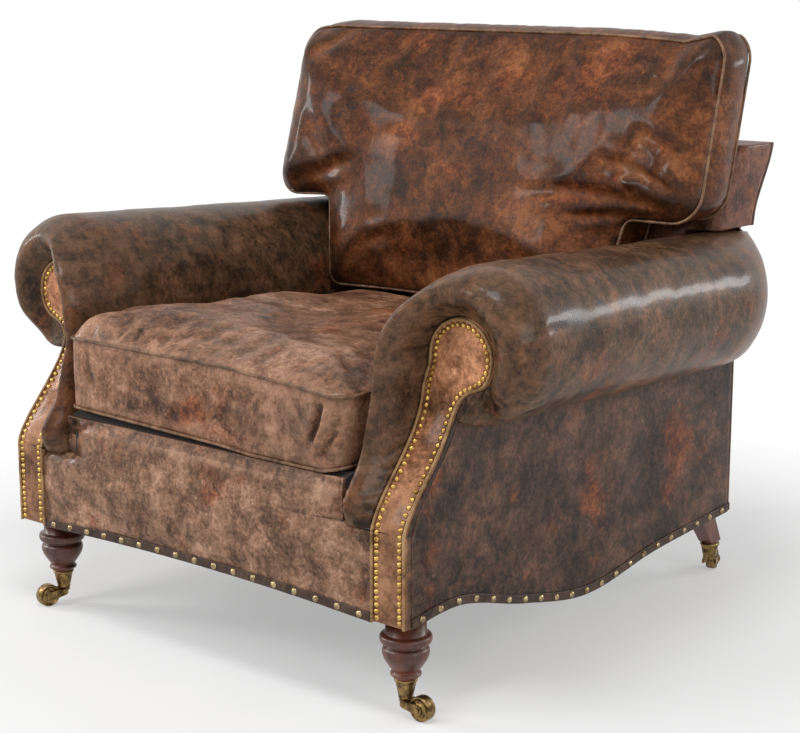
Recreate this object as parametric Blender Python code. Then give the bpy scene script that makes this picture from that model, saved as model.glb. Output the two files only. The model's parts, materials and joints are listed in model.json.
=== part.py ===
"""Worn leather club chair: scroll arms swept back from the front, a loose seat cushion, a T-shaped
back cushion, turned front legs, raked rear legs and brass castors. Metres, +Z up, front towards -Y.
Left and right are the sitter's, so the left arm is at +X. The floor is z = 0."""

import math

import bmesh
import bpy
from mathutils import Matrix, Vector

for old in list(bpy.data.objects):
    bpy.data.objects.remove(old, do_unlink=True)

# Fits
GAP = 0.0003  # between two pieces that touch
CUT_PAST = 0.020  # how far a cutter goes past what it cuts
PIN_CLEARANCE = 0.0003  # round a turning pin, on the radius

# Body: the upholstered box below the seat, and the planes that everything lines up with
BODY_HALF_WIDTH = 0.428  # outer face of the outside arm panels
FRONT_Y = -0.439  # front face of the arm facings, below their sweep
REAR_Y = 0.440  # rear face of the outside back, below its bend
PANEL_THICKNESS = 0.0035  # leather over board on the outside arms
OUTSIDE_BACK_THICKNESS = 0.006
BACK_BEND_Z = 0.42  # above this the outside back leans away
BACK_LEAN = 0.167  # how far it leans for each metre of height
BACK_TOP_Z = 0.777
BACK_OVERHANG = 0.027  # how far the back stands out over the outside arm panels, above the arms
BACK_HALF_WIDTH = BODY_HALF_WIDTH + BACK_OVERHANG

# Front edge of the arms, seen from the side: upright, swept back, upright again
SWEEP_LOW_Z = 0.283
SWEEP_HIGH_Z = 0.475
SWEEP_DEPTH = 0.125
SWEEP_BIAS = 0.85  # under 1, so the lower bend is the quicker one

# Arms
ARM_WIDTH = 0.123  # from the inside arm to the outside arm panel
ARM_INNER_X = BODY_HALF_WIDTH - ARM_WIDTH
ARM_FOOT_Z = 0.287
SHOULDER_Z = 0.490  # where the inner face starts to curve over
ROLL_RADIUS = 0.113
ROLL_FRONT_X = BODY_HALF_WIDTH + 0.024
ROLL_REAR_X = BODY_HALF_WIDTH - 0.003
ROLL_FRONT_Z = 0.543
ROLL_REAR_Z = 0.518
ROLL_UNDER_DEG = -104.0  # how far round the roll goes before it meets the outside arm
ROLL_END_LENGTH = 0.16  # of the rounding at the rear
ROLL_END_EDGE = 0.006  # how far the last ring draws in
ROLL_END_SPARE = 0.002  # cut off again along the outside back
ROLL_TOP_SPACE = 0.006  # between the roll's top at the rear and the back's side wings
ROLL_TOP_STEP = 0.004  # height over which the back widens there
SIDE_CLEARANCE = 0.0015  # between the arms' inner faces and what fits between them
FRONT_PUFF = 0.036  # how far the padded front stands out round the facing
PUFF_RISE = 0.085  # height over which the puff grows from the arm's foot
PUFF_WIDTH = 0.060  # padding this wide has the full puff

# Facing: the leather-covered board on the front of each arm, with a round scroll at its top
FACING_FOOT_Z = 0.152
FACING_WIDTH = 0.065
FACING_OUTER_X = BODY_HALF_WIDTH - 0.0005
FACING_INNER_X = FACING_OUTER_X - FACING_WIDTH
FACING_THICKNESS = 0.010
FACING_WAIST_Z = 0.450
FACING_FLARE = 0.015  # how far the outer edge has turned out at the top of the sweep
SCROLL_X = BODY_HALF_WIDTH + 0.006
SCROLL_Z = 0.526
SCROLL_RADIUS = 0.058
SCROLL_OUTER_DEG = (-46.0, 81.0)
SCROLL_INNER_DEG = (190.0, 99.0)
SCROLL_STEPS = 8
SWEEP_STEPS = 5
WELT_RADIUS = 0.0028
NAIL_PITCH = 0.01125
NAIL_WIDTH = 0.0085
NAIL_HEIGHT = 0.0032
WELT_INSET = 0.0038  # from the facing's edge to the middle of the welt
NAIL_INSET = 0.0118  # from the facing's edge to the line of nails
NAIL_SEAT = 0.0007  # gap under the straight bits of the nail run where the facing bends

# Bottom edges
FRONT_EDGE_Z = 0.150
FRONT_EDGE_ARCH = 0.010
REAR_EDGE_Z = 0.133
SIDE_EDGE = (  # (y, z) along the serpentine apron
    (-0.440, 0.151),
    (-0.330, 0.160),
    (-0.170, 0.122),
    (-0.010, 0.093),
    (0.200, 0.117),
    (0.440, 0.133),
)
SIDE_STEPS = 15
BAND_HEIGHT = 0.014
BAND_THICKNESS = 0.002
BAND_NAIL_PITCH = 0.041
BAND_NAIL_RADIUS = 0.0055
BAND_NAIL_HEIGHT = 0.0032
BAND_NAIL_SIDES = 5

# Timber
POST_WIDTH = 0.032
POST_DEPTH = 0.045
POST_X = BODY_HALF_WIDTH - 0.043
LEG_BEND_Z = 0.130
REAR_LEG_X = POST_X - 0.008
REAR_LEG_Y = REAR_Y + 0.026
REAR_LEG_WIDTH = 0.026
REAR_LEG_DEPTH = 0.032
LEG_SHOULDER = 0.004  # height over which the rear leg turns from round to square
ARM_POST_PAD = 0.0045  # padding between the facing and the arm post
ARM_POST_DEPTH = 0.040
ARM_POST_INSET = 0.004  # of the arm post inside the facing's edges
ARM_RAIL_HEIGHT = 0.040
ARM_RAIL_WIDTH = 0.034
ARM_CAVITY_X = FACING_INNER_X - 0.0155
ARM_CAVITY_TOP_Z = 0.394
SEAT_RAIL_BOTTOM_Z = 0.165
SEAT_RAIL_TOP_Z = 0.270
RAIL_THICKNESS = 0.024
RAIL_SET_BACK = 0.008  # of the back's rails behind the posts' front faces
SIDE_RAIL_THICKNESS = 0.022
SIDE_RAIL_TOP_Z = 0.250
STAY_RAIL_Z = (0.400, 0.450)
TOP_RAIL_HEIGHT = 0.050
TOP_PAD = 0.020  # padding over the top rail and the posts' ends
BACK_TOP_EASE = 0.010  # how far the inside back's top and side edges are drawn back
BACK_SIDE_EDGE = 0.012  # width over which its sides are drawn back
BLOCK_SIDE = 0.045

# Front legs: turned, with (radius, height) down the profile to the ring above the cup
FRONT_LEG_X = POST_X
FRONT_LEG_Y = FRONT_Y + 0.049
LEG_PROFILE = (
    (0.0300, 0.1500),
    (0.0300, 0.1275),
    (0.0370, 0.1250),
    (0.0385, 0.1190),
    (0.0365, 0.1135),
    (0.0290, 0.1115),
    (0.0300, 0.1080),
    (0.0345, 0.1030),
    (0.0345, 0.0960),
    (0.0300, 0.0855),
    (0.0235, 0.0755),
    (0.0190, 0.0700),
    (0.0225, 0.0672),
    (0.0222, 0.0630),
    (0.0180, 0.0600),
)
LEG_SEGMENTS = 16

# Castors
CUP_TOP_Z = 0.058
CUP_BOTTOM_Z = 0.0265
CUP_TOP_RADIUS = 0.0172
CUP_BOTTOM_RADIUS = 0.0105
CUP_WALL = 0.0016
CUP_FLOOR = 0.004
LEG_END_SPACE = 0.004  # between the leg's end and the cup's floor
PINTLE_RADIUS = 0.0030
WHEEL_RADIUS = 0.019
WHEEL_WIDTH = 0.018
WHEEL_TRAIL = 0.031
WHEEL_SIDES = 16
WHEEL_SHOULDER = 0.0045
AXLE_RADIUS = 0.0026
AXLE_HEAD_RADIUS = 0.0042
AXLE_HEAD_LENGTH = 0.0012
FORK_THICKNESS = 0.0026
FORK_CLEARANCE = 0.0010
FORK_END_RADIUS = 0.0075
FORK_ROOT_RADIUS = 0.0052
HORN_PLATE_THICKNESS = 0.0042
HORN_PLATE_RADIUS = 0.0100
HORN_WEB = 0.0015  # of the plate left in front of the slot for the wheel
CASTORS = (  # name, leg it stands under, direction that the wheel trails in degrees from +X
    ("front_left", 1, "front", 0.0),
    ("front_right", -1, "front", -101.0),
    ("rear_left", 1, "rear", 110.0),
    ("rear_right", -1, "rear", 66.0),
)

# Seat
DECK_BOTTOM_Z = 0.297
DECK_TOP_Z = 0.353
DECK_LIP = 0.010
DECK_EASE = 0.006  # rounding of the deck's front edge
DECK_REAR_Y = 0.340
DUST_COVER_THICKNESS = 0.0015
SPRING_WIRE_RADIUS = 0.0018
SPRING_COUNT = 4
SPRING_SPACING = 0.135
SPRING_WIDTH = 0.042
SPRING_PITCH = 0.052
SEAT_HALF_WIDTH = ARM_INNER_X - 0.004
SEAT_FRONT_Y = FRONT_Y + 0.007
SEAT_REAR_Y = 0.270
SEAT_LOW_WELT_Z = 0.366
SEAT_HIGH_WELT_Z = 0.471
SEAT_CROWN = 0.026
SEAT_CORNER = 0.030
BOXING_BULGE = 0.004
CUSHION_WELT = 0.0025

# Back cushion: outline drawn on a leaning plane, the boxing behind it
CUSHION_LEAN = 0.27  # how far it leans for each metre of height
CUSHION_FRONT_Y = 0.309  # its front seam at CUSHION_MIDDLE_Z
CUSHION_MIDDLE_Z = 0.825
CUSHION_THICKNESS = 0.083
CUSHION_FOOT_Z = 0.502
CUSHION_TOP_Z = 0.958
CUSHION_NECK_HALF = ARM_INNER_X - 0.019
CUSHION_EAR_HALF = BACK_HALF_WIDTH - 0.003
CUSHION_EAR_Z = 0.655
CUSHION_TOP_CORNER = 0.045
CUSHION_EAR_CORNER = 0.055
CUSHION_FRONT_CROWN = 0.045
CUSHION_REAR_CROWN = 0.0127  # swells back until it rests on the inside back

# Front border
BORDER_THICKNESS = 0.0125
BORDER_CROWN = 0.007
BORDER_DROP = 0.004  # of its top edge below the deck's


def linear(code):
    """A colour written as an sRGB hex code, as linear red, green, blue and alpha."""
    values = [int(code[i : i + 2], 16) / 255 for i in (1, 3, 5)]
    return [v / 12.92 if v <= 0.04045 else ((v + 0.055) / 1.055) ** 2.4 for v in values] + [1.0]


def material(name, colour, roughness, metallic=0.0):
    made = bpy.data.materials.new(name)
    made.use_nodes = True
    shader = made.node_tree.nodes["Principled BSDF"]
    shader.inputs["Base Color"].default_value = linear(colour)
    shader.inputs["Roughness"].default_value = roughness
    shader.inputs["Metallic"].default_value = metallic
    made.diffuse_color = linear(colour)
    return made


LEATHER = material("distressed_leather", "#5c4135", 0.42)
FACING_LEATHER = material("tan_leather", "#7d5c44", 0.45)
WELT_LEATHER = material("welt_leather", "#9a7448", 0.50)
BAND_LEATHER = material("band_leather", "#2e241f", 0.55)
BEECH = material("beech_timber", "#b98f63", 0.60)
MAHOGANY = material("mahogany_stain", "#4a2219", 0.28)
BRASS = material("antique_brass", "#8d6f3d", 0.35, 1.0)
STEEL = material("spring_steel", "#6b6f73", 0.35, 1.0)
CLOTH = material("dust_cloth", "#26241f", 0.95)

chair = bpy.data.objects.new("chair", None)
bpy.context.scene.collection.objects.link(chair)


def add_object(name, bm, finish, parent=None, smooth_deg=None):
    """A mesh object from a bmesh whose vertices are in the parent's frame."""
    bmesh.ops.recalc_face_normals(bm, faces=bm.faces)
    mesh = bpy.data.meshes.new(name)
    bm.to_mesh(mesh)
    bm.free()
    mesh.materials.append(finish)
    if smooth_deg is not None:
        mesh.shade_smooth()
        mesh.set_sharp_from_angle(angle=math.radians(smooth_deg))
    made = bpy.data.objects.new(name, mesh)
    made.parent = parent or chair
    bpy.context.scene.collection.objects.link(made)
    return made


def cutter(name, bm):
    """A helper for a Boolean, left out of renders."""
    made = add_object(name, bm, CLOTH)
    made.hide_render = True
    made.display_type = "WIRE"
    return made


def boolean(piece, other, operation):
    modifier = piece.modifiers.new(f"{operation.lower()} {other.name}", "BOOLEAN")
    modifier.operation = operation
    modifier.solver = "EXACT"
    modifier.object = other


def put_grid(bm, front, back):
    """A closed solid between two grids of points of the same size, joined round their edges."""
    fronts = [[bm.verts.new(p) for p in row] for row in front]
    backs = [[bm.verts.new(p) for p in row] for row in back]
    rows, columns = len(front), len(front[0])
    for i in range(rows - 1):
        for j in range(columns - 1):
            bm.faces.new((fronts[i][j], fronts[i][j + 1], fronts[i + 1][j + 1], fronts[i + 1][j]))
            bm.faces.new((backs[i][j], backs[i + 1][j], backs[i + 1][j + 1], backs[i][j + 1]))
    around = [(0, j) for j in range(columns)] + [(i, columns - 1) for i in range(1, rows)]
    around += [(rows - 1, j) for j in range(columns - 2, -1, -1)] + [(i, 0) for i in range(rows - 2, 0, -1)]
    for (a, b), (c, d) in zip(around, around[1:] + around[:1]):
        bm.faces.new((fronts[a][b], backs[a][b], backs[c][d], fronts[c][d]))


def grid_solid(front, back):
    bm = bmesh.new()
    put_grid(bm, front, back)
    return bm


def put_rings(bm, rings):
    """A closed solid through rings of points, with a face over each end."""
    loops = [[bm.verts.new(p) for p in ring] for ring in rings]
    count = len(rings[0])
    for lower, upper in zip(loops, loops[1:]):
        for j in range(count):
            k = (j + 1) % count
            bm.faces.new((lower[j], lower[k], upper[k], upper[j]))
    bm.faces.new(loops[0])
    bm.faces.new(loops[-1])


def ring_solid(rings):
    bm = bmesh.new()
    put_rings(bm, rings)
    return bm


def put_box(bm, low, high):
    corners = [(low[0], low[1]), (high[0], low[1]), (high[0], high[1]), (low[0], high[1])]
    put_rings(bm, [[Vector((x, y, z)) for x, y in corners] for z in (low[2], high[2])])


def box_solid(low, high):
    bm = bmesh.new()
    put_box(bm, low, high)
    return bm


def put_turned(bm, profile, sides, turn=0.0):
    """A solid turned about Z from (radius, z) pairs."""
    angles = [turn + 2 * math.pi * j / sides for j in range(sides)]
    put_rings(bm, [[Vector((r * math.cos(a), r * math.sin(a), z)) for a in angles] for r, z in profile])


def turned_solid(profile, sides, turn=0.0):
    bm = bmesh.new()
    put_turned(bm, profile, sides, turn)
    return bm


def turned_shell(profile, sides, turn=0.0):
    """A ring-shaped solid turned about Z: the profile goes round its section and closes."""
    bm = bmesh.new()
    angles = [turn + 2 * math.pi * j / sides for j in range(sides)]
    loops = [[bm.verts.new((r * math.cos(a), r * math.sin(a), z)) for a in angles] for r, z in profile]
    for lower, upper in zip(loops, loops[1:] + loops[:1]):
        for j in range(sides):
            k = (j + 1) % sides
            bm.faces.new((lower[j], lower[k], upper[k], upper[j]))
    return bm


def smoothstep(t):
    t = min(max(t, 0.0), 1.0)
    return t * t * (3 - 2 * t)


def between(a, b, t):
    return a + (b - a) * t


def spread(a, b, steps):
    return [between(a, b, i / steps) for i in range(steps + 1)]


def sweep(z):
    """Depth of the facing's front at this height."""
    t = min(max((z - SWEEP_LOW_Z) / (SWEEP_HIGH_Z - SWEEP_LOW_Z), 0.0), 1.0)
    return FRONT_Y + SWEEP_DEPTH * smoothstep(t**SWEEP_BIAS)


def outside_back_y(z):
    return REAR_Y + BACK_LEAN * max(z - BACK_BEND_Z, 0.0)


def post_rear_y(z):
    return outside_back_y(z) - OUTSIDE_BACK_THICKNESS - GAP


def cushion_y(z):
    """Depth of the back cushion's front seam at this height."""
    return CUSHION_FRONT_Y + CUSHION_LEAN * (z - CUSHION_MIDDLE_Z)


def inside_back_y(z):
    return cushion_y(z) + CUSHION_THICKNESS + CUSHION_REAR_CROWN + GAP


def through(points, position):
    """A smooth curve through (position, value) pairs."""
    last = len(points) - 2
    i = min(max(sum(position > p[0] for p in points[1:-1]), 0), last)
    before, start = points[max(i - 1, 0)], points[i]
    end, after = points[i + 1], points[min(i + 2, last + 1)]
    length = end[0] - start[0]
    t = min(max((position - start[0]) / length, 0.0), 1.0)
    rise = (end[1] - before[1]) / (end[0] - before[0]) * length
    fall = (after[1] - start[1]) / (after[0] - start[0]) * length
    t2, t3 = t * t, t * t * t
    return (
        (2 * t3 - 3 * t2 + 1) * start[1] + (t3 - 2 * t2 + t) * rise
        + (3 * t2 - 2 * t3) * end[1] + (t3 - t2) * fall
    )


def side_edge_z(y):
    return through(SIDE_EDGE, y)


def front_edge_z(x):
    return FRONT_EDGE_Z + FRONT_EDGE_ARCH * max(1 - (x / FACING_INNER_X) ** 2, 0.0)


def roll_centre(y):
    """(x, z) of the arm roll's centre at this depth."""
    t = (y - sweep(SCROLL_Z)) / (REAR_Y - sweep(SCROLL_Z))
    return between(ROLL_FRONT_X, ROLL_REAR_X, t), between(ROLL_FRONT_Z, ROLL_REAR_Z, t)


def roll_under_z(y, x):
    """Height of the roll's underside over this x."""
    centre_x, centre_z = roll_centre(y)
    return centre_z - math.sqrt(ROLL_RADIUS**2 - (centre_x - x) ** 2)


def facing_rows(inset=0.0):
    """Pairs of (x, z), inner and outer, up the facing from its foot to the top of the scroll."""
    levels = [FACING_FOOT_Z + max(inset, 0.0), SWEEP_LOW_Z]
    levels += spread(SWEEP_LOW_Z, FACING_WAIST_Z, SWEEP_STEPS)[1:]
    rows = [((FACING_INNER_X + inset, z), (FACING_OUTER_X - inset, z)) for z in levels]
    flare_x = FACING_OUTER_X + FACING_FLARE
    rows.append(((FACING_INNER_X + inset, SWEEP_HIGH_Z), (flare_x - inset, SWEEP_HIGH_Z)))
    radius = SCROLL_RADIUS - inset
    for i in range(SCROLL_STEPS + 1):
        angles = [
            math.radians(between(*ends, i / SCROLL_STEPS)) for ends in (SCROLL_INNER_DEG, SCROLL_OUTER_DEG)
        ]
        rows.append(
            tuple((SCROLL_X + radius * math.cos(a), SCROLL_Z + radius * math.sin(a)) for a in angles)
        )
    return rows


def facing_path(inset):
    """Points on the facing's front this far inside its edge, up the inner side and down the outer."""
    rows = facing_rows()
    edge = [Vector(inner) for inner, _ in rows] + [Vector(outer) for _, outer in reversed(rows)]
    path = []
    for before, here, after in zip([edge[0]] + edge[:-1], edge, edge[1:] + [edge[-1]]):
        first, second = (here - before), (after - here)
        first = (first if first.length else second).normalized()
        second = (second if second.length else first).normalized()
        inward = Vector((first.y + second.y, -first.x - second.x)).normalized()
        x, z = here + inward * inset / max(inward.dot(Vector((second.y, -second.x))), 0.7)
        path.append(Vector((x, sweep(z), z)))
    path[0].z += 2 * WELT_RADIUS
    path[-1].z += 2 * WELT_RADIUS
    return path


def facing_normal(z):
    step = 0.002
    slope = (sweep(z + step) - sweep(z - step)) / (2 * step)
    return Vector((0.0, -1.0, slope)).normalized()


def facing_solid(side, ahead, behind, grow):
    """The facing's outline, grown, from ahead of its front face to behind it."""
    rows = facing_rows(-grow)
    front = [[Vector((side * x, sweep(z) - ahead, z)) for x, z in row] for row in rows]
    back = [[Vector((side * x, sweep(z) + behind, z)) for x, z in row] for row in rows]
    return grid_solid(front, back)


def arm_rows(y):
    """Pairs of (x, z), inner and outer, up the arm's section at this depth, as many as the facing's."""
    centre_x, centre_z = roll_centre(y)
    outer_x = BODY_HALF_WIDTH - PANEL_THICKNESS - GAP
    under_z = roll_under_z(y, outer_x) + GAP
    levels = spread(0.0, 1.0, SWEEP_STEPS + 1)
    rows = [
        (
            (ARM_INNER_X, between(ARM_FOOT_Z, SHOULDER_Z, t * 0.9)),
            (outer_x, between(ARM_FOOT_Z, under_z, t * 0.97)),
        )
        for t in levels
    ]
    across = centre_x - ARM_INNER_X
    height = centre_z + ROLL_RADIUS - SHOULDER_Z
    for i in range(SCROLL_STEPS + 1):
        inner = math.radians(between(180.0, 98.0, i / SCROLL_STEPS))
        outer = math.radians(between(ROLL_UNDER_DEG, 82.0, i / SCROLL_STEPS))
        rows.append(
            (
                (centre_x + across * math.cos(inner), SHOULDER_Z + height * math.sin(inner)),
                (centre_x + ROLL_RADIUS * math.cos(outer), centre_z + ROLL_RADIUS * math.sin(outer)),
            )
        )
    return rows


def arm_sheet():
    """Lines of points round the arm's section, inner and outer in turn, from its rear to its front."""
    rear = post_rear_y
    lines = []
    for t in (0.0, 0.12, 0.34, 0.62, 1.0):
        depth = REAR_Y - ROLL_END_LENGTH * t
        reach = max(math.sqrt(1 - (1 - t) ** 2), 0.10)
        draw = ROLL_END_EDGE * (1 - t) ** 3
        centre_x, centre_z = roll_centre(depth)
        hold_x = BODY_HALF_WIDTH
        line = []
        for row in arm_rows(depth):
            for x, z in row:
                if x > hold_x:
                    x = hold_x + (x - hold_x) * reach
                if z > SHOULDER_Z:
                    z -= draw
                line.append(Vector((x, rear(z) + ROLL_END_SPARE - ROLL_END_LENGTH * t, z)))
        lines.append(line)
    start = REAR_Y - ROLL_END_LENGTH
    for t in (0.35, 0.70):
        depth = between(start, sweep(SCROLL_Z), t)
        lines.append(
            [
                Vector((x, between(rear(z) - ROLL_END_LENGTH, sweep(z), t), z))
                for row in arm_rows(depth)
                for x, z in row
            ]
        )
    shape = arm_rows(sweep(SCROLL_Z))
    core = facing_rows(0.004)[1:]
    core[0] = tuple((x, ARM_FOOT_Z) for x, _ in core[0])
    for t in (0.0, 0.10, 0.30, 0.55, 0.80, 1.0):
        line = []
        for row, inside in zip(shape, core):
            for (x, z), (core_x, core_z) in zip(row, inside):
                core_x = min(core_x, max(x, ARM_INNER_X)) if z < FACING_WAIST_Z else core_x
                at_x, at_z = between(x, core_x, t), between(z, core_z, t)
                share = min(math.hypot(core_x - x, core_z - z) / PUFF_WIDTH, 1.0)
                puff = FRONT_PUFF * share * smoothstep((at_z - ARM_FOOT_Z) / PUFF_RISE)
                set_back = 0.004 + 0.6 * puff * (1 - t) ** 2
                swell = puff * math.sin(math.pi * t**0.8)
                line.append(Vector((at_x, sweep(at_z) + set_back - swell, at_z)))
        lines.append(line)
    return lines


def arm_body(side):
    """The sheet closed over its rear, its front and its flat foot."""
    bm = bmesh.new()
    lines = [[bm.verts.new((side * p.x, p.y, p.z)) for p in line] for line in arm_sheet()]
    pairs = len(lines[0]) // 2
    for here, there in zip(lines, lines[1:]):
        for i in range(pairs - 1):
            for s in (0, 1):
                a, b = 2 * i + s, 2 * i + 2 + s
                bm.faces.new((here[a], here[b], there[b], there[a]))
        top = 2 * pairs - 2
        bm.faces.new((here[top], here[top + 1], there[top + 1], there[top]))
    for line in (lines[0], lines[-1]):
        for i in range(pairs - 1):
            bm.faces.new((line[2 * i], line[2 * i + 1], line[2 * i + 3], line[2 * i + 2]))
    bm.faces.new([line[0] for line in lines] + [line[1] for line in reversed(lines)])
    return bm


def swept_prism(x0, x1, z_levels, front, rear):
    """A prism across x whose front and rear faces follow functions of the height."""
    fronts = [[Vector((x, front(z), z)) for x in (x0, x1)] for z in z_levels]
    rears = [[Vector((x, rear(z), z)) for x in (x0, x1)] for z in z_levels]
    return grid_solid(fronts, rears)


def arm_post_front(z):
    return sweep(z) + FACING_THICKNESS + ARM_POST_PAD + GAP


def post_front_y(z):
    return post_rear_y(z) - POST_DEPTH


SWEEP_LEVELS = spread(SWEEP_LOW_Z, ARM_CAVITY_TOP_Z, 4)
OUTER_X = BODY_HALF_WIDTH - PANEL_THICKNESS - GAP


def make_arms():
    """Padded arm upholstery in one piece: inside arm, roll and puffed front, open below for the timber."""
    stay_front = post_front_y(sum(STAY_RAIL_Z) / 2) + RAIL_SET_BACK
    for side, word in ((1, "left"), (-1, "right")):
        arm = add_object(f"arm_upholstery_{word}", arm_body(side), LEATHER, smooth_deg=50)
        recess = facing_solid(side, FRONT_PUFF + CUT_PAST, FACING_THICKNESS + GAP, GAP)
        boolean(arm, cutter(f"facing_seat_{word}", recess), "DIFFERENCE")
        cavity = swept_prism(
            side * ARM_CAVITY_X,
            side * (BODY_HALF_WIDTH + CUT_PAST),
            [ARM_FOOT_Z - CUT_PAST] + SWEEP_LEVELS,
            lambda z: arm_post_front(z) - GAP,
            lambda z: REAR_Y + CUT_PAST,
        )
        boolean(arm, cutter(f"arm_cavity_{word}", cavity), "DIFFERENCE")
        half = POST_WIDTH / 2 + GAP
        channel = swept_prism(
            side * (POST_X - half),
            side * (POST_X + half),
            [ARM_FOOT_Z - CUT_PAST / 2, BACK_BEND_Z, BACK_TOP_Z],
            lambda z: post_front_y(z) - GAP,
            lambda z: outside_back_y(z) + CUT_PAST,
        )
        boolean(arm, cutter(f"post_channel_{word}", channel), "DIFFERENCE")
        behind = swept_prism(
            side * (ARM_INNER_X - CUT_PAST),
            side * (ROLL_FRONT_X + ROLL_RADIUS),
            [ARM_FOOT_Z - CUT_PAST, BACK_BEND_Z, BACK_TOP_Z],
            post_rear_y,
            lambda z: outside_back_y(z) + CUT_PAST,
        )
        boolean(arm, cutter(f"arm_end_{word}", behind), "DIFFERENCE")
        low, high = STAY_RAIL_Z
        slot = swept_prism(
            side * (ARM_INNER_X - CUT_PAST),
            side * POST_X,
            [low - GAP, high + GAP],
            lambda z: stay_front - GAP,
            lambda z: REAR_Y + CUT_PAST,
        )
        boolean(arm, cutter(f"rail_slot_{word}", slot), "DIFFERENCE")


def make_facings():
    for side, word in ((1, "left"), (-1, "right")):
        add_object(f"arm_facing_{word}", facing_solid(side, 0.0, FACING_THICKNESS, 0.0), FACING_LEATHER)
        welt = facing_path(WELT_INSET)
        points = [
            Vector((side * p.x, p.y, p.z)) + facing_normal(p.z) * (WELT_RADIUS + GAP) for p in welt
        ]
        cord = tube_solid(points, WELT_RADIUS, 5, Vector((0, 1, 0)))
        add_object(f"facing_welt_{word}", cord, WELT_LEATHER, smooth_deg=80)
        add_object(f"facing_nails_{word}", nail_run(side), BRASS)


def tube_solid(points, radius, sides, across):
    """A round cord along a line of points, flat at both ends. across is a direction square to its start."""
    rings = []
    for i, p in enumerate(points):
        ahead = points[min(i + 1, len(points) - 1)] - points[max(i - 1, 0)]
        ahead.normalize()
        across = (across - ahead * across.dot(ahead)).normalized()
        other = ahead.cross(across)
        angles = [2 * math.pi * j / sides for j in range(sides)]
        rings.append([p + (across * math.cos(a) + other * math.sin(a)) * radius for a in angles])
    return ring_solid(rings)


def stations(points, pitch, start=0.0):
    """(place, direction) pairs about a pitch apart along a line, the first after start pitches."""
    lengths = [(b - a).length for a, b in zip(points, points[1:])]
    total = sum(lengths)
    count = max(round(total / pitch), 1)
    found, passed, i = [], 0.0, 0
    for k in range(count if start else count + 1):
        target = min((k + start) * total / count, total - 1e-9)
        while passed + lengths[i] < target:
            passed += lengths[i]
            i += 1
        ahead = (points[i + 1] - points[i]).normalized()
        found.append((points[i] + ahead * (target - passed), ahead))
    return found


def nail_run(side):
    """A row of close nails, joined by their narrow necks into one strip."""
    path = facing_path(NAIL_INSET)
    necks = [(place, ahead, 0.45, 0.30) for place, ahead in stations(path, NAIL_PITCH)]
    heads = [(place, ahead, 1.0, 1.0) for place, ahead in stations(path, NAIL_PITCH, 0.5)]
    order = [entry for pair in zip(necks, heads) for entry in pair] + necks[-1:]
    rings = []
    for place, ahead, width, height in order:
        up = facing_normal(place.z)
        across = ahead.cross(up).normalized() * (NAIL_WIDTH / 2 * width)
        base = place + up * NAIL_SEAT
        crown = base + up * (NAIL_HEIGHT * height)
        ring = [base - across, base + across, crown]
        rings.append([Vector((side * p.x, p.y, p.z)) for p in ring])
    return ring_solid(rings)


def panel_top_z(y):
    """Top edge of the outside arm, just under the roll."""
    return roll_under_z(y, BODY_HALF_WIDTH) - 0.001


def make_side_panels():
    """Outside arm panels, cut to the sweep at the front and the serpentine edge below."""
    rear_y = REAR_Y - OUTSIDE_BACK_THICKNESS - GAP
    foot, head = side_edge_z(FRONT_Y), panel_top_z(sweep(SWEEP_HIGH_Z))
    levels = [foot] + [z for z in spread(SWEEP_LOW_Z, FACING_WAIST_Z, SWEEP_STEPS) if z < head] + [head]
    shares = [(z - foot) / (head - foot) for z in levels]
    for side, word in ((1, "left"), (-1, "right")):
        faces = []
        for x in (side * BODY_HALF_WIDTH, side * (BODY_HALF_WIDTH - PANEL_THICKNESS)):
            columns = []
            for t in spread(0.0, 1.0, SIDE_STEPS):
                low = side_edge_z(between(FRONT_Y, rear_y, t))
                high = panel_top_z(between(sweep(SWEEP_HIGH_Z), rear_y, t))
                column = []
                for share, level in zip(shares, levels):
                    start = sweep(level) + FACING_THICKNESS + 2 * GAP
                    column.append(Vector((x, between(start, rear_y, t), between(low, high, share))))
                columns.append(column)
            faces.append(columns)
        add_object(f"outside_arm_{word}", grid_solid(*faces), LEATHER)


def nail_heads(places, outward):
    """Domed nail heads standing on the band, each sunk a little into it."""
    bm = bmesh.new()
    turn = outward.to_track_quat("Z", "Y").to_matrix()
    for place in places:
        profile = ((1.0, -0.4), (0.5, 1.0))
        rings = []
        for radius, height in profile:
            ring = []
            for j in range(BAND_NAIL_SIDES):
                a = 2 * math.pi * j / BAND_NAIL_SIDES
                spot = Vector((math.cos(a), math.sin(a), 0)) * (BAND_NAIL_RADIUS * radius)
                spot.z = BAND_NAIL_HEIGHT * height
                ring.append(place + turn @ spot)
            rings.append(ring)
        put_rings(bm, rings)
    return bm


def make_band(name, edge, outward):
    """A leather band along a bottom edge, given as points on the covered face, with spaced nails."""
    lift = Vector((0, 0, BAND_HEIGHT))
    near, far = outward * GAP, outward * (GAP + BAND_THICKNESS)
    band = add_object(
        name,
        grid_solid([[p + far, p + far + lift] for p in edge], [[p + near, p + near + lift] for p in edge]),
        BAND_LEATHER,
    )
    places = [place for place, _ in stations(edge, BAND_NAIL_PITCH, 0.5)]
    heads = nail_heads([p + far + lift / 2 for p in places], outward)
    boolean(band, cutter(f"{name}_nail_heads", heads), "UNION")


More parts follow.
